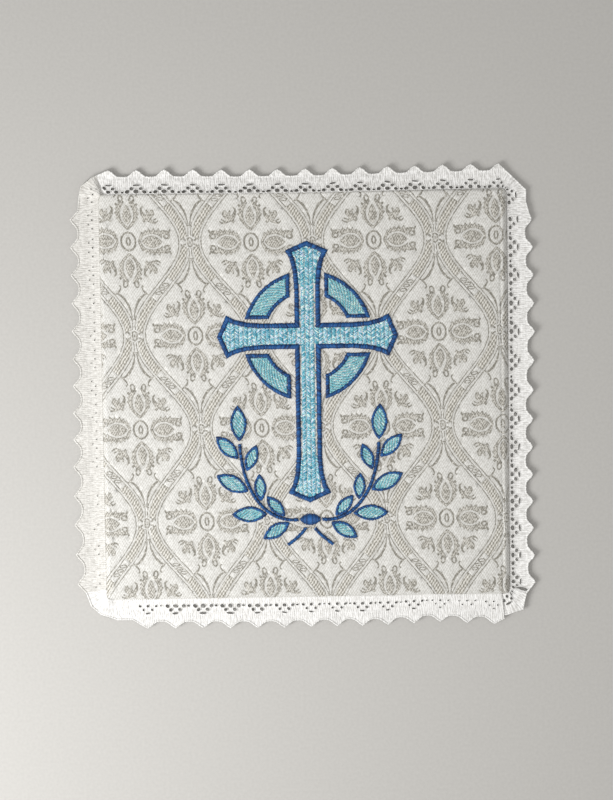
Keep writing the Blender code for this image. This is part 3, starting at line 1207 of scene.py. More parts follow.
@dataclass
class BackLining:
    """The plain lining under the card, turned up to the seam."""

    cover: Cover
    # How far in and how high the lining runs, from the seam to the flat back.
    section: tuple = ((0.02, 1.55), (0.0, 1.1), (0.12, 0.6), (0.6, 0.25), (1.7, 0.02))
    # The rings of the flat back, as shares of the section's last one.
    flat_rings: tuple = (0.94, 0.8, 0.6, 0.4, 0.2, 0.06)
    corner_steps: int = 6
    cells: int = 40

    def outline(self) -> np.ndarray:
        """Draw the seam with its rounded corners.

        Returns:
            The seam's points.
        """
        corners, radius = self.cover.corners, self.cover.corner_radius
        points = []
        for index, corner in enumerate(corners):
            back = corners[index - 1] - corner
            ahead = corners[(index + 1) % 4] - corner
            back /= np.linalg.norm(back)
            ahead /= np.linalg.norm(ahead)
            for step in range(self.corner_steps + 1):
                angle = math.pi / 2 * step / self.corner_steps
                away = -back * math.sin(angle) - ahead * math.cos(angle)
                points.append(corner + (back + ahead) * radius + away * radius)
            for step in range(1, self.cells):
                leave = corner + ahead * radius
                arrive = corners[(index + 1) % 4] - ahead * radius
                points.append(leave + (arrive - leave) * step / self.cells)
        return np.array(points)

    def build(self) -> bpy.types.Object:
        """Make the lining.

        Returns:
            The lining sheet.
        """
        parts = MeshParts()
        seam = self.outline()
        rings = [inset(seam, deep) for deep, _ in self.section]
        heights = [height for _, height in self.section]
        middle, flat = self.cover.middle, heights[-1]
        for share in self.flat_rings:
            rings.append(middle + (rings[len(self.section) - 1] - middle) * share)
            heights.append(flat)
        count = len(seam)
        stacked = np.vstack([
            np.column_stack([ring, np.full(count, height)]) for ring, height in zip(rings, heights)
        ])
        k = np.arange(count)
        after = (k + 1) % count
        quads = [
            np.stack([k + low, k + low + count, after + low + count, after + low], axis=1)
            for low in range(0, count * (len(rings) - 1), count)
        ]
        parts.add(stacked, np.vstack(quads))
        hub = np.vstack([stacked[-count:], [[*middle, flat]]])
        parts.add(hub, np.stack([k, np.full(count, count), after], axis=1))
        return parts.mesh("back_lining", LinenFinish().material())


@dataclass(frozen=True)
class LaceRun:
    """One side of the lace: its first and last tip along it, and how far it reaches out.

    The tuples hold values at even steps from the first tip to the last one. slide is how far
    the scallops are off an even spacing, bow how much further out the edge lies, and
    hole_sizes how large the holes are. The foot and the holes follow the bow in part,
    round_tips is 0 for pointed tips and 1 for blunt ones, and hole_in is how much further in
    than usual the holes lie. tuck is how far its start lies under the end of the one before,
    and folds holds the place, the lean and the rise of each fold at its corner, the rise
    being below 0 if the strip is raised past the fold and not before it. openings holds the
    middle and the size of each opening that a fold leaves, and early says whether a group of
    holes shows before the first tip. furthest_foot is as far outside the seam as the foot lies.
    """

    name: str
    first: float
    last: float
    tips: int
    tip_reach: float
    valley_reach: float
    foot: float
    follow: float
    round_tips: float
    hole_in: float
    slide: tuple
    bow: tuple
    hole_sizes: tuple
    tuck: float = 0.0
    folds: tuple = ()
    openings: tuple = ()
    early: bool = True
    furthest_foot: float = 0.15

    @property
    def pitch(self) -> float:
        """Return the distance from tip to tip."""
        return (self.last - self.first) / (self.tips - 1)

    def at(self, values: tuple, share: float) -> float:
        """Read one of the tuples.

        Args:
            values: The tuple.
            share: Where along the side, in scallops from the first tip.

        Returns:
            The value there.
        """
        steps = np.linspace(0.0, self.tips - 1, len(values))
        return float(np.interp(share, steps, values))

    def foot_at(self, share: float) -> float:
        """Return how far outside the seam the strip starts, share scallops from its first tip."""
        return min(self.foot + self.follow * self.at(self.bow, share), self.furthest_foot)


@dataclass(frozen=True)
class LaceTurn:
    """A place where the strip turns a corner.

    seam is the distance along the seam from the corner, below 0 on the side before it, and
    edge is where the strip's outer edge lies from that corner.
    """

    corner: int
    seam: float
    edge: tuple


@dataclass(frozen=True)
class Hole:
    """A hole of the lace, placed from a scallop's tip along the strip and in from it."""

    along: float
    back: float
    size: tuple
    turn: float = 0.0


class Strip:
    """A flat lace strip, and where it lies in space once it is sewn on.

    It comes down from the seam to its rest height over the width of its descent, rises again
    from the flare outwards, and keeps clear of the cloth where it lies over it.
    """

    rest_height: float = 0.95
    descent: float = 6.5
    flare: float = 3.0
    clearance: float = 0.08
    # How far along the strip a tucked start, a fold's ledge and its flat end run.
    tuck_run: float = 3.0
    ledge_run: float = 0.12
    fold_run: float = 4.0
    # How much the half near the outer edge swells.
    edge_swell: float = 0.16

    def __init__(self, cover: Cover, tuck: float, folds: tuple) -> None:
        """Start an empty strip beside the cover.

        Args:
            cover: The square that it is sewn to.
            tuck: How far its start is tucked down.
            folds: The place along it, the lean and the rise of each of its folds.
        """
        self.cover = cover
        self.tuck = tuck
        self.folds = folds
        self.along: list[float] = []
        self.inner: list[np.ndarray] = []
        self.edge: list[np.ndarray] = []

    def section(self, inner: np.ndarray, edge: np.ndarray, straight: bool) -> None:
        """Add the next place where the seam and the outer edge are known.

        Args:
            inner: The place at the seam.
            edge: The place at the outer edge.
            straight: Whether this part runs straight along a side.
        """
        step = 0.0
        if self.along:
            run = np.linalg.norm(inner - self.inner[-1])
            step = run if straight else (run + np.linalg.norm(edge - self.edge[-1])) / 2
        self.along.append(step + (self.along[-1] if self.along else 0.0))
        self.inner.append(inner)
        self.edge.append(edge)

    def width(self, along: np.ndarray) -> np.ndarray:
        """Return the strip's width at places along it."""
        widths = np.linalg.norm(np.array(self.edge) - np.array(self.inner), axis=1)
        return np.interp(along, self.along, widths)

    def sewn(self, flat: np.ndarray, lift: Any = 0.0) -> np.ndarray:
        """Lay flat places of the strip on the seam and the floor.

        Args:
            flat: Places along the strip and out from the seam.
            lift: How far they lie above the strip's middle.

        Returns:
            The places in space.
        """
        along, out = flat[:, 0], flat[:, 1]
        inner, edge = (
            np.stack([np.interp(along, self.along, np.array(side)[:, k]) for k in (0, 1)], axis=1)
            for side in (self.inner, self.edge)
        )
        share = out / np.linalg.norm(edge - inner, axis=1)
        level = inner + (edge - inner) * share[:, None]
        fall = np.clip(1.0 - out / self.descent, 0.0, 1.0)
        rise = np.clip((out - self.flare) / 6.0, 0.0, 1.2) ** 1.5
        foot = self.cover.height(inner) - 0.1
        height = self.rest_height + (foot - self.rest_height) * fall
        height += rise * (0.7 + 0.25 * np.sin(along * 0.37))
        inside = self.cover.gaps(level).min(axis=1) > 0.0
        clear = np.maximum(height, self.cover.height(level) + self.clearance)
        height = np.where(inside, clear, height)
        height -= self.tuck * np.clip(1.0 - along / self.tuck_run, 0.0, 1.0)
        for place, lean, step in self.folds:
            past = (along - place - lean * out) * math.copysign(1.0, step)
            ledge = 0.5 - 0.5 * np.tanh(past / self.ledge_run)
            ledge *= np.clip(1.0 + past / self.fold_run, 0.0, 1.0)
            height += abs(step) * ledge * np.clip(out / 1.2, 0.0, 1.0)
        swell = np.clip((share - 0.5) / 0.5, 0.0, 1.0)
        return np.column_stack([level, height + self.edge_swell * np.sin(math.pi * swell) + lift])


@dataclass
class LaceEdging:
    """The bobbin lace round the square: one strip, its ends meeting bottom right."""

    cover: Cover
    gap: float = 0.15
    grid: float = 0.62
    scallop_steps: int = 16
    # Where a tip's rounded top ends and where the valley starts, in scallops from the tip.
    tip_flat: float = 0.03
    tip_spread: float = 0.33
    lump: float = 0.07
    least_hole: float = 0.4
    # The loose points inside the strip: how far out their rows go, and a row's rise in grids.
    widest: float = 12.0
    row_rise: float = 0.87
    # Each cord: how far it lies in from its line, its radius and its lift above the strip.
    hole_cord: tuple = (-0.06, 0.13, 0.06)
    edge_cord: tuple = (0.24, 0.32, -0.04)
    seam_cord: tuple = (0.02, 0.33, 0.1)
    seam_cord_step: float = 0.6
    # One side's strip before it is sewn on, as wide as its tips reach.
    flat_width: float = 10.5
    flat_length: float = 156.0
    runs: tuple = (
        LaceRun(
            name="right",
            first=4.2,
            last=137.8,
            tips=14,
            tip_reach=9.3,
            valley_reach=6.8,
            foot=0.15,
            follow=0.2,
            round_tips=0.55,
            hole_in=0.0,
            slide=(0.0, -0.4, -1.1, -0.9, 0.4, 0.85, 0.75),
            bow=(0.3, -0.3, -0.4, -0.15, 0.65, 0.4, -0.1),
            hole_sizes=(1.06, 1.06),
            tuck=0.45,
            folds=((10.7, 0.0, 0.9),),
            openings=(((11.3, 4.4), (1.2, 4.9)),),
        ),
        LaceRun(
            name="top",
            first=2.9,
            last=147.0,
            tips=15,
            tip_reach=8.7,
            valley_reach=6.3,
            foot=-0.35,
            follow=0.85,
            round_tips=0.6,
            hole_in=0.3,
            slide=(0.0, 0.0, -0.4, -0.95, -1.1, -0.75, -0.7),
            bow=(0.3, 0.0, -0.4, -0.75, -0.75, -0.4, -0.4),
            hole_sizes=(0.98, 1.1, 1.12, 1.12),
        ),
        LaceRun(
            name="left",
            first=9.3,
            last=143.0,
            tips=14,
            tip_reach=10.5,
            valley_reach=7.8,
            foot=0.1,
            follow=0.3,
            round_tips=0.3,
            hole_in=0.0,
            slide=(0.3, 0.0, 0.0, -0.5, -1.6, -0.6, 0.9),
            bow=(0.0, 0.0, 0.0, 0.1, 0.5, 0.6, 0.0),
            hole_sizes=(0.42, 0.33, 0.33),
            folds=((0.7, 0.0, -0.8), (5.6, 0.1, 0.5)),
        ),
        LaceRun(
            name="bottom",
            first=14.9,
            last=142.8,
            tips=14,
            tip_reach=10.2,
            valley_reach=7.8,
            foot=0.0,
            follow=0.8,
            round_tips=0.25,
            hole_in=0.0,
            slide=(0.2, 1.1, 1.6, 1.8, 0.8, 0.42, 0.78),
            bow=(0.5, 0.7, 1.0, 0.72, 0.75, -0.3, 0.85),
            hole_sizes=(0.75, 1.08, 1.12, 1.12, 1.05, 0.9, 0.75, 0.8, 0.8, 0.72, 0.72, 0.5, 0.48, 0.52),
            early=False,
        ),
    )
    turns: tuple = (
        LaceTurn(0, -4.2, (-3.4, -8.2)),
        LaceTurn(0, -2.2, (-1.2, -8.0)),
        LaceTurn(0, -1.2, (2.0, -6.8)),
        LaceTurn(0, 0.0, (4.9, -6.1)),
        LaceTurn(0, 1.2, (5.6, -2.7)),
        LaceTurn(0, 2.6, (6.3, 0.2)),
        LaceTurn(1, -9.0, (8.3, -9.0)),
        LaceTurn(1, -4.0, (7.2, -5.0)),
        LaceTurn(1, -1.5, (7.3, -0.7)),
        LaceTurn(1, 0.0, (4.6, 2.0)),
        LaceTurn(1, 1.5, (0.9, 5.6)),
        LaceTurn(2, -1.5, (-0.6, 6.6)),
        LaceTurn(2, 0.0, (-6.3, 2.6)),
        LaceTurn(2, 2.0, (-7.2, -1.6)),
        LaceTurn(2, 5.0, (-7.7, -6.4)),
        LaceTurn(3, -4.0, (-7.6, 2.8)),
        LaceTurn(3, -1.4, (-5.7, -2.4)),
        LaceTurn(3, 0.0, (-2.2, -5.4)),
        LaceTurn(3, 3.0, (4.0, -7.6)),
        LaceTurn(3, 8.5, (9.6, -7.6)),
    )
    end: LaceTurn = LaceTurn(0, -2.8, (-2.2, -9.3))
    # One scallop's holes, drawn for tips that are this far apart.
    drawn_pitch: float = 10.3
    holes: tuple = (
        Hole(-3.0, 8.0, (1.5, 1.25), 20),
        Hole(0.1, 8.0, (1.75, 1.4)),
        Hole(3.3, 8.0, (1.6, 1.25), -20),
        Hole(5.1, 8.1, (1.1, 0.8)),
        Hole(-1.7, 6.6, (1.4, 1.2), -25),
        Hole(1.75, 6.6, (1.5, 1.25), 25),
        Hole(0.0, 5.3, (2.3, 0.8)),
    )

    def scallop(self, share: float, round_tips: float) -> float:
        """Draw the outer edge of a scallop.

        Args:
            share: The place along the edge, whole numbers being tips.
            round_tips: How blunt its tips are, from 0 to 1.

        Returns:
            1 at a tip and 0 in a valley.
        """
        away = abs(share - round(share))
        t = min(max((away - self.tip_flat) / (self.tip_spread - self.tip_flat), 0.0), 1.0)
        blunt = 1.0 - t * t * (3.0 - 2.0 * t)
        arcs = 1.0 - math.sin(math.pi * away)
        return arcs + (blunt - arcs) * round_tips

    def seam(self, side: int, along: float, off: float | None = None) -> tuple:
        """Find a place beside the seam.

        Args:
            side: Which side, 0 being the right one.
            along: The distance along it from its first corner.
            off: How far outside the seam it lies, the usual gap if not given.

        Returns:
            The place and the outward direction.
        """
        start, end = self.cover.corners[side % 4], self.cover.corners[(side + 1) % 4]
        length = np.linalg.norm(end - start)
        run = (end - start) / length
        outward = np.array([run[1], -run[0]])
        radius = self.cover.corner_radius
        short = max(radius - min(along, length - along), 0.0)
        drop = radius - math.sqrt(max(radius**2 - short**2, 0.0))
        gap = self.gap if off is None else off
        return start + run * along + outward * (gap - drop), outward

    def turned(self, turn: LaceTurn) -> tuple[np.ndarray, np.ndarray]:
        """Find where the strip lies where it turns a corner.

        Args:
            turn: The place in its turn.

        Returns:
            Its places at the seam and at its outer edge.
        """
        corners, radius = self.cover.corners, self.cover.corner_radius
        here = corners[turn.corner]
        edge = here + np.array(turn.edge)
        if turn.seam < 0:
            length = np.linalg.norm(here - corners[turn.corner - 1])
            return self.seam(turn.corner - 1, length + turn.seam)[0], edge
        if turn.seam > 0:
            return self.seam(turn.corner, turn.seam)[0], edge
        inward = (self.cover.middle - here) / np.abs(self.cover.middle - here).max()
        round_middle = here + inward * radius
        return round_middle - inward / np.linalg.norm(inward) * (radius + self.gap), edge

    def strip(self, side: int) -> Strip:
        """Follow the strip from its turn round one corner up to the next corner.

        Args:
            side: Which side, 0 being the right one.

        Returns:
            The strip.
        """
        run = self.runs[side]
        made = Strip(self.cover, run.tuck, run.folds)
        for turn in self.turns:
            if turn.corner == side:
                made.section(*self.turned(turn), False)
        shares = np.arange((run.tips - 1) * self.scallop_steps + 1) / self.scallop_steps
        for k, share in enumerate(shares):
            stand = run.tip_reach - run.valley_reach
            reach = run.valley_reach + stand * self.scallop(share, run.round_tips)
            reach += run.at(run.bow, share) + self.lump * math.cos(math.pi * k)
            along = run.first + share * run.pitch + run.at(run.slide, share)
            foot = run.foot_at(share)
            inner, outward = self.seam(side, along, foot)
            made.section(inner, inner + outward * (reach - foot), k > 0)
        following = [turn for turn in self.turns if turn.corner == side + 1][:1] or [self.end]
        made.section(*self.turned(following[0]), False)
        return made

    def hole_outlines(self, side: int, strip: Strip) -> list[np.ndarray]:
        """Draw the holes along one side.

        Args:
            side: Which side.
            strip: Its strip.

        Returns:
            The holes' outlines on the flat strip.
        """
        run = self.runs[side]
        turns = sum(1 for turn in self.turns if turn.corner == side)
        rng = np.random.default_rng(20 + side)
        made = [oval(middle, size, 0.0, 16) for middle, size in run.openings]
        for tip in range(-1 if run.early else 0, run.tips + 1):
            scale = run.at(run.hole_sizes, tip)
            slid = run.at(run.slide, tip) - run.slide[0]
            moved = run.follow * run.at(run.bow, tip) - run.foot_at(tip)
            for hole in self.holes:
                beside = hole.along * run.pitch / self.drawn_pitch
                along = strip.along[turns] + tip * run.pitch + slid + beside
                out = run.tip_reach - hole.back + moved - run.hole_in
                half = hole.size[0] / 2 + 0.3
                if not half < along < strip.along[-1] - half:
                    continue
                wobble = rng.uniform(0.88, 1.12, 3)
                size = (hole.size[0] * wobble[0] * scale, hole.size[1] * wobble[1] * scale)
                if min(size) < self.least_hole:
                    continue
                lean = hole.turn + (wobble[2] - 1) * 90
                made.append(oval((along, max(out, size[1] / 2 + 0.18)), size, lean, 12))
        return made

    def build(self, side: int, cotton: bpy.types.Material) -> bpy.types.Object:
        """Make one side of the lace.

        Args:
            side: Which side.
            cotton: What it is made of.

        Returns:
            The strip as a sheet with raised rims and cords.
        """
        strip = self.strip(side)
        holes = self.hole_outlines(side, strip)
        length = strip.along[-1]
        fine = np.array(strip.along)
        edge = np.column_stack([fine, strip.width(fine)])
        outline = np.vstack([np.column_stack([fine, np.zeros(len(fine))]), edge[::-1]])
        u = np.arange(self.grid, length, self.grid)
        loose = []
        for row in range(1, int(self.widest / (self.grid * self.row_rise))):
            out = np.full(len(u), row * self.grid * self.row_rise)
            loose.append(np.column_stack([u + (row % 2) * self.grid / 2, out]))
        loose = np.vstack(loose)
        loose = loose[within(loose, outline)]
        points, corners = triangles([outline, *holes], loose)
        middles = points[corners].mean(1)
        kept = within(middles, outline)
        for hole in holes:
            kept &= ~within(middles, hole)
        parts = MeshParts()
        parts.add(strip.sewn(points), corners[kept], place=points)
        deep, radius, lift = self.hole_cord
        for hole in holes:
            self.add_cord(parts, strip, inset(hole, deep), radius, lift, True)
        deep, radius, lift = self.edge_cord
        self.add_cord(parts, strip, edge - (0.0, deep), radius, lift)
        # The left and bottom sides show the cord that runs along the seam.
        if side > 1:
            deep, radius, lift = self.seam_cord
            foot = np.arange(0.0, length, self.seam_cord_step)
            path = np.column_stack([foot, np.full(len(foot), -deep)])
            self.add_cord(parts, strip, path, radius, lift)
        return parts.mesh(f"lace_{self.runs[side].name}", cotton)

    def add_cord(
        self,
        parts: MeshParts,
        strip: Strip,
        flat: np.ndarray,
        radius: float,
        lift: float,
        closed: bool = False,
    ) -> None:
        """Add a thick thread that lies on the strip.

        Args:
            parts: What it is added to.
            strip: The strip that it lies on.
            flat: Its path on the flat strip.
            radius: Its radius.
            lift: How far its middle lies above the strip.
            closed: Whether it joins its ends.
        """
        points, faces = tube(strip.sewn(flat, lift), radius, closed, 5 if closed else 6)
        sides = len(points) // len(flat)
        parts.add(points, faces, place=np.repeat(flat, sides, axis=0))


@dataclass
class Needle:
    """Lays stitches on the cloth."""

    cover: Cover
    pitch: float = 0.38
    seed: int = 7
    sink: float = 0.10
    # How uneven the stitches are: their crowns' share of the full height, and how far past
    # its line an end of a satin stitch runs.
    crowns: tuple = (0.88, 1.06)
    overruns: tuple = (-0.06, 0.16)
    rng: np.random.Generator = field(init=False)

    def __post_init__(self) -> None:
        """Start the small differences from stitch to stitch."""
        self.rng = np.random.default_rng(self.seed)

    def lay(
        self,
        parts: MeshParts,
        starts: np.ndarray,
        ends: np.ndarray,
        crown: float,
        rows: int = 6,
        thick: float = 1.16,
        dim: float = 0.0,
    ) -> None:
        """Lay one stitch from each start to its end.

        Args:
            parts: What they are added to.
            starts: Where they come up.
            ends: Where they go down.
            crown: How high their middles stand above the cloth.
            rows: How finely each is drawn.
            thick: Their width, in pitches.
            dim: How much darker their ends are painted than their middles, as painted shade.
        """
        count = len(starts)
        if not count:
            return
        run = ends - starts
        length = np.linalg.norm(run, axis=1, keepdims=True)
        run = run / np.maximum(length, 1e-6)
        across = np.stack([-run[:, 1], run[:, 0]], axis=1)
        share = np.linspace(0.0, 1.0, rows)
        arch = (1.0 - np.abs(2.0 * share - 1.0) ** 2.6) ** 0.7
        half = self.pitch * thick / 2 * (0.5 + 0.5 * np.sqrt(np.sin(math.pi * share).clip(0, 1)))
        middle = starts[:, None] + (ends - starts)[:, None] * share[None, :, None]
        tall = crown * self.rng.uniform(*self.crowns, (count, 1))
        base = self.cover.height(middle.reshape(-1, 2)).reshape(count, rows) - self.sink
        height = base + (tall + self.sink) * arch[None, :]
        columns = []
        for side, drop in ((-1.0, 0.24), (0.0, 0.0), (1.0, 0.24)):
            place = middle + across[:, None] * (half * side)[None, :, None]
            columns.append(np.dstack([place, height - drop * self.pitch * 1.6]))
        points = np.stack(columns, axis=2).reshape(-1, 3)
        k = np.arange(rows - 1)[:, None] * 3 + np.arange(2)[None, :]
        quads = np.stack([k, k + 3, k + 4, k + 1], axis=2).reshape(-1, 4)
        faces = (np.arange(count) * rows * 3)[:, None, None] + quads[None]
        # Each stitch gets a random tone, and dim paints shade on its ends.
        tone = self.rng.uniform(0.0, 1.0, count)[:, None] * (1.0 - dim * (2.0 * share - 1.0) ** 2)
        parts.add(points, faces.reshape(-1, 4), np.repeat(tone.ravel(), 3))

    def satin(
        self,
        parts: MeshParts,
        outer: np.ndarray,
        inner: np.ndarray,
        crown: float,
        closed: bool = True,
        lean: float = 0.0,
    ) -> None:
        """Lay close stitches side by side from one line to another.

        Args:
            parts: What they are added to.
            outer: The points of the first line.
            inner: The matching points of the second line.
            crown: How high the stitches stand.
            closed: Whether the lines join their ends.
            lean: How far the second line's ends run ahead, in stitches.
        """
        middle = (outer + inner) / 2
        if closed:
            middle = np.vstack([middle, middle[:1]])
            outer = np.vstack([outer, outer[:1]])
            inner = np.vstack([inner, inner[:1]])
        lengths = np.linalg.norm(np.diff(middle, axis=0), axis=1)
        total = np.concatenate([[0.0], np.cumsum(lengths)])
        count = max(int(round(total[-1] / self.pitch)), 1)
        along = (np.arange(count) + 0.5) * total[-1] / count
        ahead = np.clip(along + lean * self.pitch, 0.0, total[-1])
        starts = np.stack([np.interp(along, total, outer[:, k]) for k in (0, 1)], axis=1)
        ends = np.stack([np.interp(ahead, total, inner[:, k]) for k in (0, 1)], axis=1)
        run = ends - starts
        run /= np.maximum(np.linalg.norm(run, axis=1, keepdims=True), 1e-6)
        starts -= run * self.rng.uniform(*self.overruns, (count, 1))
        ends += run * self.rng.uniform(*self.overruns, (count, 1))
        # The satin stitches' ends get painted shade.
        self.lay(parts, starts, ends, crown, dim=0.9)

    def fill(
        self,
        parts: MeshParts,
        outline: np.ndarray,
        turn: float,
        crown: float,
        reach: float,
        pitch: float,
    ) -> None:
        """Fill an outline with rows of short stitches.

        Args:
            parts: What they are added to.
            outline: The outline.
            turn: The stitches' direction in degrees from +X.
            crown: How high they stand.
            reach: The length of a stitch.
            pitch: The distance from row to row.
        """
        lean = math.radians(turn)
        axis = np.array([math.cos(lean), math.sin(lean)])
        side = np.array([-axis[1], axis[0]])
        flat = np.stack([outline @ axis, outline @ side], axis=1)
        starts, ends = self.rows(flat, reach, pitch)
        spin = np.stack([axis, side])
        thick = pitch / self.pitch * 1.12
        self.lay(parts, starts @ spin, ends @ spin, crown, rows=5, thick=thick)

    def herringbone(
        self,
        parts: MeshParts,
        outline: np.ndarray,
        crown: float,
        column: float = 1.62,
        pitch: float = 0.46,
    ) -> None:
        """Fill an outline with upright columns of slanted stitches.

        Args:
            parts: What they are added to.
            outline: The outline.
            crown: How high they stand.
            column: The width of a column.
            pitch: The distance from stitch to stitch up a column.
        """
        low, high = outline.min(0), outline.max(0)
        first = np.arange(low[0] - column, high[0], column)
        up = np.arange(low[1] - column, high[1] + column, pitch)
        x, y = (side.ravel() for side in np.meshgrid(first, up))
        rising = np.where(np.round((x - low[0]) / column) % 2 == 0, 0.45, -0.45) * column
        x = x + self.rng.normal(0.0, 0.05, len(x))
        starts = np.stack([x, y - rising], axis=1)
        ends = np.stack([x + column * 1.14, y + rising], axis=1)
        starts, ends = clipped(starts, ends, outline)
        self.lay(parts, starts, ends, crown, rows=5, thick=pitch * 0.9 / self.pitch * 1.12)

    def rows(self, flat: np.ndarray, reach: float, pitch: float) -> tuple:
        """Split the inside of an outline into level stitches.

        Args:
            flat: The outline, turned so that the stitches run along x.
            reach: The length of a stitch.
            pitch: The distance from row to row.

        Returns:
            The starts and the ends of the stitches.
        """
        low, high = flat[:, 1].min(), flat[:, 1].max()
        starts, ends = [], []
        following = np.roll(flat, -1, axis=0)
        for row, y in enumerate(np.arange(low + pitch / 2, high, pitch)):
            crossed = (flat[:, 1] > y) != (following[:, 1] > y)
            a, b = flat[crossed], following[crossed]
            hits = np.sort(a[:, 0] + (b[:, 0] - a[:, 0]) * (y - a[:, 1]) / (b[:, 1] - a[:, 1]))
            phase = (row % 3) * reach / 3
            for left, right in zip(hits[::2], hits[1::2]):
                first = math.floor((left - phase) / reach)
                cuts = phase + np.arange(first + 1, first + 200) * reach
                inner = cuts[(cuts > left + 0.7) & (cuts < right - 0.7)]
                marks = np.concatenate([[left], inner, [right]])
                for start, end in zip(marks, marks[1:]):
                    starts.append((start, y))
                    ends.append((end, y))
        return np.array(starts).reshape(-1, 2), np.array(ends).reshape(-1, 2)


@dataclass
class Emblem:
    """The embroidery: a cross with a halo, over two laurel sprays."""

    cover: Cover
    middle: tuple = (1.1, 0.7)
    border_crown: float = 0.72
    field_crown: float = 0.34
    # The halo's and the leaves' fields: a stitch's length, its row's width, and how far the
    # field runs in under its border.
    field_reach: float = 1.5
    field_pitch: float = 0.4
    field_tuck: float = 0.2
    cross_centre: tuple = (0.0, 21.0)
    cross_border: float = 1.9
    cross_tuck: float = 0.25
    cross_half: float = 4.8
    # Rows of an arm's outline: distance back from its pointed end, and half width.
    arm_end: tuple = ((0.0, 0.0), (3.6, 8.0), (7.0, 6.3), (11.0, 5.3), (17.0, 4.8))
    arm_lengths: tuple = (33.5, 35.0, 33.5, 61.5)
    halo: tuple = (15.6, 24.0)
    halo_border: float = 1.5
    halo_gap: float = 1.5
    tie_centre: tuple = (0.0, -46.6)
    tie_size: tuple = (7.4, 4.6)
    tie_crown: float = 0.85
    stem_width: float = 1.3
    stem_crown: float = 0.8
    # How far a stem's stitches slant, in stitches.
    stem_lean: float = 1.2
    stem: tuple = ((4.2, -46.6), (15.0, -48.0), (24.8, -38.0), (25.6, -18.5))
    tail: tuple = ((1.6, -49.5), (3.0, -52.0), (5.4, -53.6), (8.2, -55.9))
    leaf_size: tuple = (13.4, 6.2)
    leaf_border: float = 1.0
    # The crown of a leaf's border as a share of the others', and its root's gap to the stem.
    leaf_crown: float = 0.8
    leaf_gap: float = 0.3
    leaf_spread: float = 36.0
    # Each leaf's place along the stem, its side (0 at the end) and its size.
    leaves: tuple = (
        (0.10, 1, 0.86),
        (0.16, -1, 0.76),
        (0.36, 1, 0.98),
        (0.50, -1, 0.76),
        (0.64, 1, 1.0),
        (0.80, -1, 0.78),
        (0.90, 1, 0.88),
        (1.0, 0, 1.0),
    )
    needle: Needle = field(init=False)

    def __post_init__(self) -> None:
        """Thread the needle."""
        self.needle = Needle(self.cover)

    def placed(self, points: np.ndarray) -> np.ndarray:
        """Move places of the emblem to their place on the square."""
        shift = self.cover.corners.mean(0) - np.array(self.cover.out_of_true).mean(0)
        return points + np.array(self.middle) + shift

    def cross_outline(self) -> np.ndarray:
        """Draw the cross.

        Returns:
            Its anticlockwise outline.
        """
        outline = []
        for arm, length in enumerate(self.arm_lengths):
            right = [(length - back, -half) for back, half in reversed(self.arm_end)]
            left = [(length - back, half) for back, half in self.arm_end[1:]]
            for point in [(self.cross_half, -self.cross_half), *right, *left]:
                outline.append(turned(point, 90.0 * arm, self.cross_centre))
        return self.placed(np.array(outline))

    def build_cross(self) -> list[bpy.types.Object]:
        """Sew the cross.

        Returns:
            Its border and its field.
        """
        border, inside = MeshParts(), MeshParts()
        outline = self.cross_outline()
        self.needle.satin(border, outline, inset(outline, self.cross_border), self.border_crown)
        hem = inset(outline, self.cross_border - self.cross_tuck)
        self.needle.herringbone(inside, hem, self.field_crown)
        return [
            border.mesh("cross_edge_stitches", BLUE_THREAD.material()),
            inside.mesh("cross_field_stitches", CYAN_THREAD.material()),
        ]

    def halo_outline(self, quarter: int, margin: float, steps: int = 24) -> np.ndarray:
        """Draw one halo band.

        Args:
            quarter: Which band, anticlockwise from the top right one.
            margin: How far inside its border's outer line it runs.
            steps: How finely its arcs are drawn.

        Returns:
            Its anticlockwise outline.
        """
        gap = self.cross_half + self.halo_gap + margin
        inner, outer = self.halo
        points = []
        for radius, direction in ((outer - margin, 1), (inner + margin, -1)):
            low = math.asin(gap / radius)
            angles = np.linspace(low, math.pi / 2 - low, steps)[::direction]
            for angle in angles:
                point = (radius * math.cos(angle), radius * math.sin(angle))
                points.append(turned(point, 90.0 * quarter, self.cross_centre))
        return self.placed(np.array(points))

    def build_halo(self) -> list[bpy.types.Object]:
        """Sew the four halo bands.

        Returns:
            Their borders and their fields.
        """
        border, inside = MeshParts(), MeshParts()
        centre = self.placed(np.array([self.cross_centre]))[0]
        radius = sum(self.halo) / 2
        for quarter in range(4):
            outer = self.halo_outline(quarter, 0.0)
            inner = self.halo_outline(quarter, self.halo_border)
            self.needle.satin(border, outer, inner, self.border_crown)
            hem = self.halo_outline(quarter, self.halo_border - self.field_tuck) - centre
            start = math.pi / 2 * quarter
            angle = (np.arctan2(hem[:, 1], hem[:, 0]) - start) % (2 * math.pi)
            flat = np.stack([angle * radius, np.hypot(hem[:, 0], hem[:, 1])], axis=1)
            ends = []
            for side in self.needle.rows(flat, self.field_reach, self.field_pitch):
                turn = side[:, 0] / radius + start
                ends.append(centre + np.stack([np.cos(turn), np.sin(turn)], axis=1) * side[:, 1:])
            self.needle.lay(inside, *ends, self.field_crown, rows=5, thick=1.2)
        return [
            border.mesh("halo_edge_stitches", BLUE_THREAD.material()),
            inside.mesh("halo_field_stitches", AQUA_THREAD.material()),
        ]

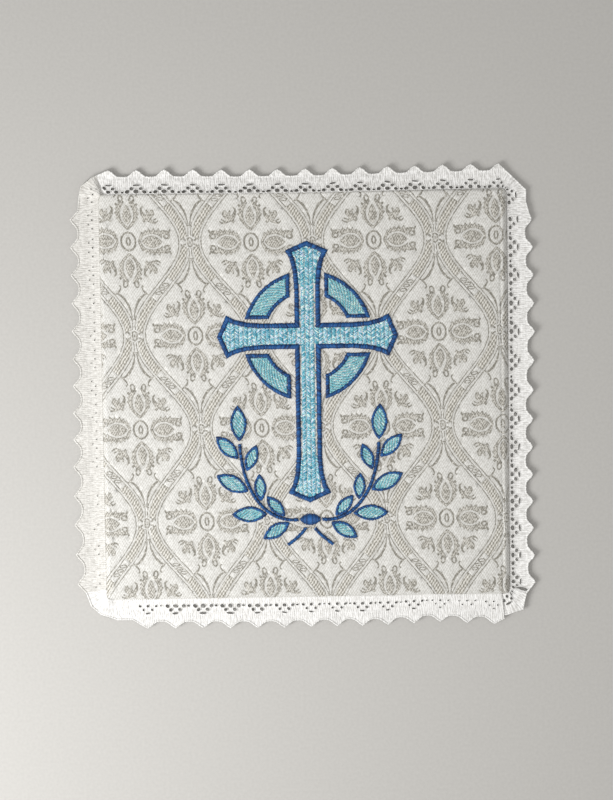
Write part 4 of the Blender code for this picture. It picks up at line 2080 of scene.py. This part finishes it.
    def leaf(self, share: float, side: int, size: float, margin: float) -> tuple:
        """Draw one leaf of the right spray.

        Args:
            share: Its place along the stem.
            side: 1 outside the curve, -1 inside it and 0 at its end.
            size: Its size, 1 being full.
            margin: How far inside its edge the outline runs.

        Returns:
            Its anticlockwise outline and its direction in degrees.
        """
        steps = 200
        line = bezier(self.stem, steps)
        index = min(int(share * steps), steps - 1)
        heading = line[index + 1] - line[index]
        heading /= np.linalg.norm(heading)
        outward = np.array([heading[1], -heading[0]]) * side
        spread = math.radians(self.leaf_spread) * abs(side)
        axis = heading * math.cos(spread) + outward * math.sin(spread)
        clear = self.stem_width / 2 + self.leaf_gap
        root = line[index + 1] + (outward if side else heading) * clear
        length, half = self.leaf_size[0] * size, self.leaf_size[1] * size / 2
        along = np.linspace(margin * 1.8, length - margin * 1.8, 17)
        wide = half * np.sin(math.pi * along / length) ** 0.85 - margin * 1.06
        wide[[0, -1]] = 0.0
        wide = np.maximum(wide, 0.0)
        along = np.concatenate([along[:-1], along[:0:-1]])
        wide = np.concatenate([-wide[:-1], wide[:0:-1]])
        across = np.array([-axis[1], axis[0]])
        outline = root + along[:, None] * axis + wide[:, None] * across
        return outline, math.degrees(math.atan2(axis[1], axis[0]))

    def build_sprays(self) -> list[bpy.types.Object]:
        """Sew both sprays and their tie.

        Returns:
            The leaves' edges, the leaves' fields, and the stems with the tie.
        """
        border, inside, stems = MeshParts(), MeshParts(), MeshParts()
        for side in (1, -1):
            mirror = np.array([side, 1])
            for leaf in self.leaves:
                outer, turn = self.leaf(*leaf, 0.0)
                inner, _ = self.leaf(*leaf, self.leaf_border)
                hem, _ = self.leaf(*leaf, self.leaf_border - self.field_tuck)
                outer, inner, hem = (self.placed(line * mirror) for line in (outer, inner, hem))
                self.needle.satin(border, outer, inner, self.border_crown * self.leaf_crown)
                heading = turn if side > 0 else 180.0 - turn
                size = (self.field_crown, self.field_reach, self.field_pitch)
                self.needle.fill(inside, hem, heading, *size)
            for curve in (self.stem, self.tail):
                line = self.placed(bezier(curve, 40) * mirror)
                out = normals(line) * self.stem_width / 2
                shape = (self.stem_crown, False, self.stem_lean)
                self.needle.satin(stems, line + out, line - out, *shape)
        ring = oval(self.tie_centre, self.tie_size, 0, 40)
        upper, lower = ring[1:20], ring[:20:-1]
        self.needle.satin(stems, self.placed(upper), self.placed(lower), self.tie_crown, False)
        return [
            border.mesh("leaf_edge_stitches", BLUE_THREAD.material()),
            inside.mesh("leaf_field_stitches", AQUA_THREAD.material()),
            stems.mesh("stem_stitches", BLUE_THREAD.material()),
        ]


# Each weave's outline colour is painted shade in the groove where figure and ground meet.
GROUND_FINISH = DamaskFinish(
    "damask_ground",
    light=linear(220, 219, 215),
    dark=linear(189, 187, 181),
    outline=linear(182, 180, 173),
    pitch=0.78,
    relief=0.045,
    lines=0.6,
    speckle=0.4,
    rim=0.3,
)
FIGURE_FINISH = DamaskFinish(
    "damask_figure",
    light=linear(204, 201, 193),
    dark=linear(128, 124, 114),
    outline=linear(112, 108, 97),
    pitch=0.74,
    relief=0.10,
    lines=0.5,
    speckle=0.5,
    rim=0.66,
)
BAND_FINISH = DamaskFinish(
    "damask_band",
    light=linear(217, 214, 206),
    dark=linear(132, 128, 117),
    outline=linear(110, 106, 95),
    pitch=0.95,
    relief=0.12,
    lines=0.75,
    speckle=0.25,
    rim=0.66,
)
WHITE_COTTON = CottonFinish(
    "lace_cotton",
    light=linear(243, 242, 240),
    dark=linear(198, 196, 192),
)
# The left side's lace: the same cotton painted darker, as painted shade.
PAINTED_SHADE_COTTON = CottonFinish(
    "lace_cotton_painted_shade",
    light=linear(225, 223, 218),
    dark=linear(192, 189, 183),
)
# The bottom side's lace: the same cotton painted lighter and flatter, as painted light.
PAINTED_LIGHT_COTTON = CottonFinish(
    "lace_cotton_painted_light",
    light=linear(239, 238, 236),
    dark=linear(208, 206, 202),
)
# Each thread's glint and tint colours are painted highlights.
BLUE_THREAD = ThreadFinish(
    "blue_thread",
    shadow=linear(3, 29, 70),
    light=linear(30, 96, 162),
    glint=linear(104, 154, 204),
    second_glint=linear(76, 128, 196),
    glint_share=0.12,
    gloss=0.3,
)
CYAN_THREAD = ThreadFinish(
    "cyan_thread",
    shadow=linear(16, 108, 140),
    light=linear(102, 197, 211),
    glint=linear(228, 242, 230),
    second_glint=linear(212, 212, 232),
    glint_share=0.72,
    grain=0.4,
)
AQUA_THREAD = ThreadFinish(
    "aqua_thread",
    shadow=linear(44, 136, 164),
    light=linear(142, 206, 206),
    glint=linear(222, 240, 226),
    second_glint=linear(206, 214, 230),
    glint_share=0.54,
    grain=0.62,
)


@dataclass
class Studio:
    """Plain floor, soft light and the camera of the photograph's view."""

    # Camera place in millimetres and its lean from straight down, in degrees.
    place: tuple = (-3.13, 11.76, 452.7)
    lean: tuple = (-1.639, -0.511, -0.868)
    lens: float = 55.0
    floor_size: float = 3000.0
    sky_colour: tuple = (1.0, 0.99, 0.97, 1.0)
    sky_strength: float = 0.42
    # Each light: its name, its place and the length of its side, and its power in watts.
    lights: tuple = (
        ("key", (-345.0, -210.0, 320.0), 220.0, 2.33),
        ("fill", (-60.0, 60.0, 900.0), 700.0, 2.2),
    )

    def build(self) -> None:
        """Make the floor, the lights and the camera."""
        self.make_floor()
        for light in self.lights:
            self.make_light(*light)
        world = bpy.data.worlds.new("studio")
        world.use_nodes = True
        sky = world.node_tree.nodes["Background"]
        sky.inputs["Color"].default_value = self.sky_colour
        sky.inputs["Strength"].default_value = self.sky_strength
        scene = bpy.context.scene
        scene.world = world
        scene.view_settings.view_transform = "Standard"
        camera = bpy.data.cameras.new("camera")
        camera.lens = self.lens
        camera.sensor_width = 36.0
        camera.clip_start = 0.01
        thing = bpy.data.objects.new("camera", camera)
        thing.location = Vector(self.place) * MM
        thing.rotation_euler = Euler([math.radians(angle) for angle in self.lean])
        bpy.context.collection.objects.link(thing)
        scene.camera = thing

    def make_floor(self) -> None:
        """Make the floor that the pall lies on."""
        half = self.floor_size / 2
        parts = MeshParts()
        square = [(-half, -half, 0), (half, -half, 0), (half, half, 0), (-half, half, 0)]
        parts.add(np.array(square), np.array([[0, 1, 2, 3]]))
        floor = parts.mesh("floor", FloorFinish().material())

    def make_light(self, name: str, place: tuple, size: float, power: float) -> None:
        """Make one square soft light that looks at the pall.

        Args:
            name: The light's name.
            place: Where it stands, in millimetres.
            size: The length of its side in millimetres.
            power: Its power in watts.
        """
        data = bpy.data.lights.new(name, "AREA")
        data.size = size * MM
        data.energy = power
        thing = bpy.data.objects.new(name, data)
        thing.location = Vector(place) * MM
        thing.rotation_mode = "QUATERNION"
        thing.rotation_quaternion = (-Vector(place)).to_track_quat("-Z", "Y")
        bpy.context.collection.objects.link(thing)


def dress(piece: bpy.types.Object, slot: str, *nodes: str) -> None:
    """Tie a piece to the frame.

    Args:
        piece: The piece.
        slot: The slot of its cloth or thread; not used.
        nodes: The solids that it stands for.
    """
    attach(piece, BODY)
    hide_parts(*nodes)
    log.info("%s: %d faces for %s", piece.name, len(piece.data.polygons), ", ".join(nodes))


def main() -> None:
    """Build the pall's looks round the frame."""
    logging.basicConfig(level=logging.INFO, format="%(name)s: %(message)s")
    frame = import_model()
    log.info("frame with %d nodes", len(frame["nodes"]))
    Studio().build()
    cover = Cover()
    sheet = DamaskCover(cover)
    front = sheet.build()
    dress(front, "damask", "pall_body")
    back = BackLining(cover).build()
    dress(back, "damask", "pall_body")
    lace = LaceEdging(cover)
    # The left side's lace gets painted shade and the bottom's painted light.
    white, shaded_cotton, bright = (cotton.material() for cotton in (WHITE_COTTON, PAINTED_SHADE_COTTON, PAINTED_LIGHT_COTTON))
    for index, cotton in enumerate((white, white, shaded_cotton, bright)):
        strip = lace.build(index, cotton)
        dress(strip, "lace", "lace_edging")
    emblem = Emblem(cover)
    cross_edge, cross_field = emblem.build_cross()
    dress(cross_edge, "blue_thread", "cross_border")
    dress(cross_field, "cyan_thread", "cross_field")
    halo_edge, halo_field = emblem.build_halo()
    dress(halo_edge, "blue_thread", *[f"halo_border_{k}" for k in range(1, 5)])
    dress(halo_field, "aqua_thread", *[f"halo_field_{k}" for k in range(1, 5)])
    leaf_edge, leaf_field, stems = emblem.build_sprays()
    leaves = [f"leaf_{word}_{k}" for word in ("left", "right") for k in range(1, 9)]
    dress(leaf_edge, "blue_thread", *leaves)
    dress(leaf_field, "aqua_thread", *leaves)
    dress(stems, "blue_thread", "spray_tie", "stem_left", "stem_right", "tail_left", "tail_right")


if __name__ == "__main__":
    main()
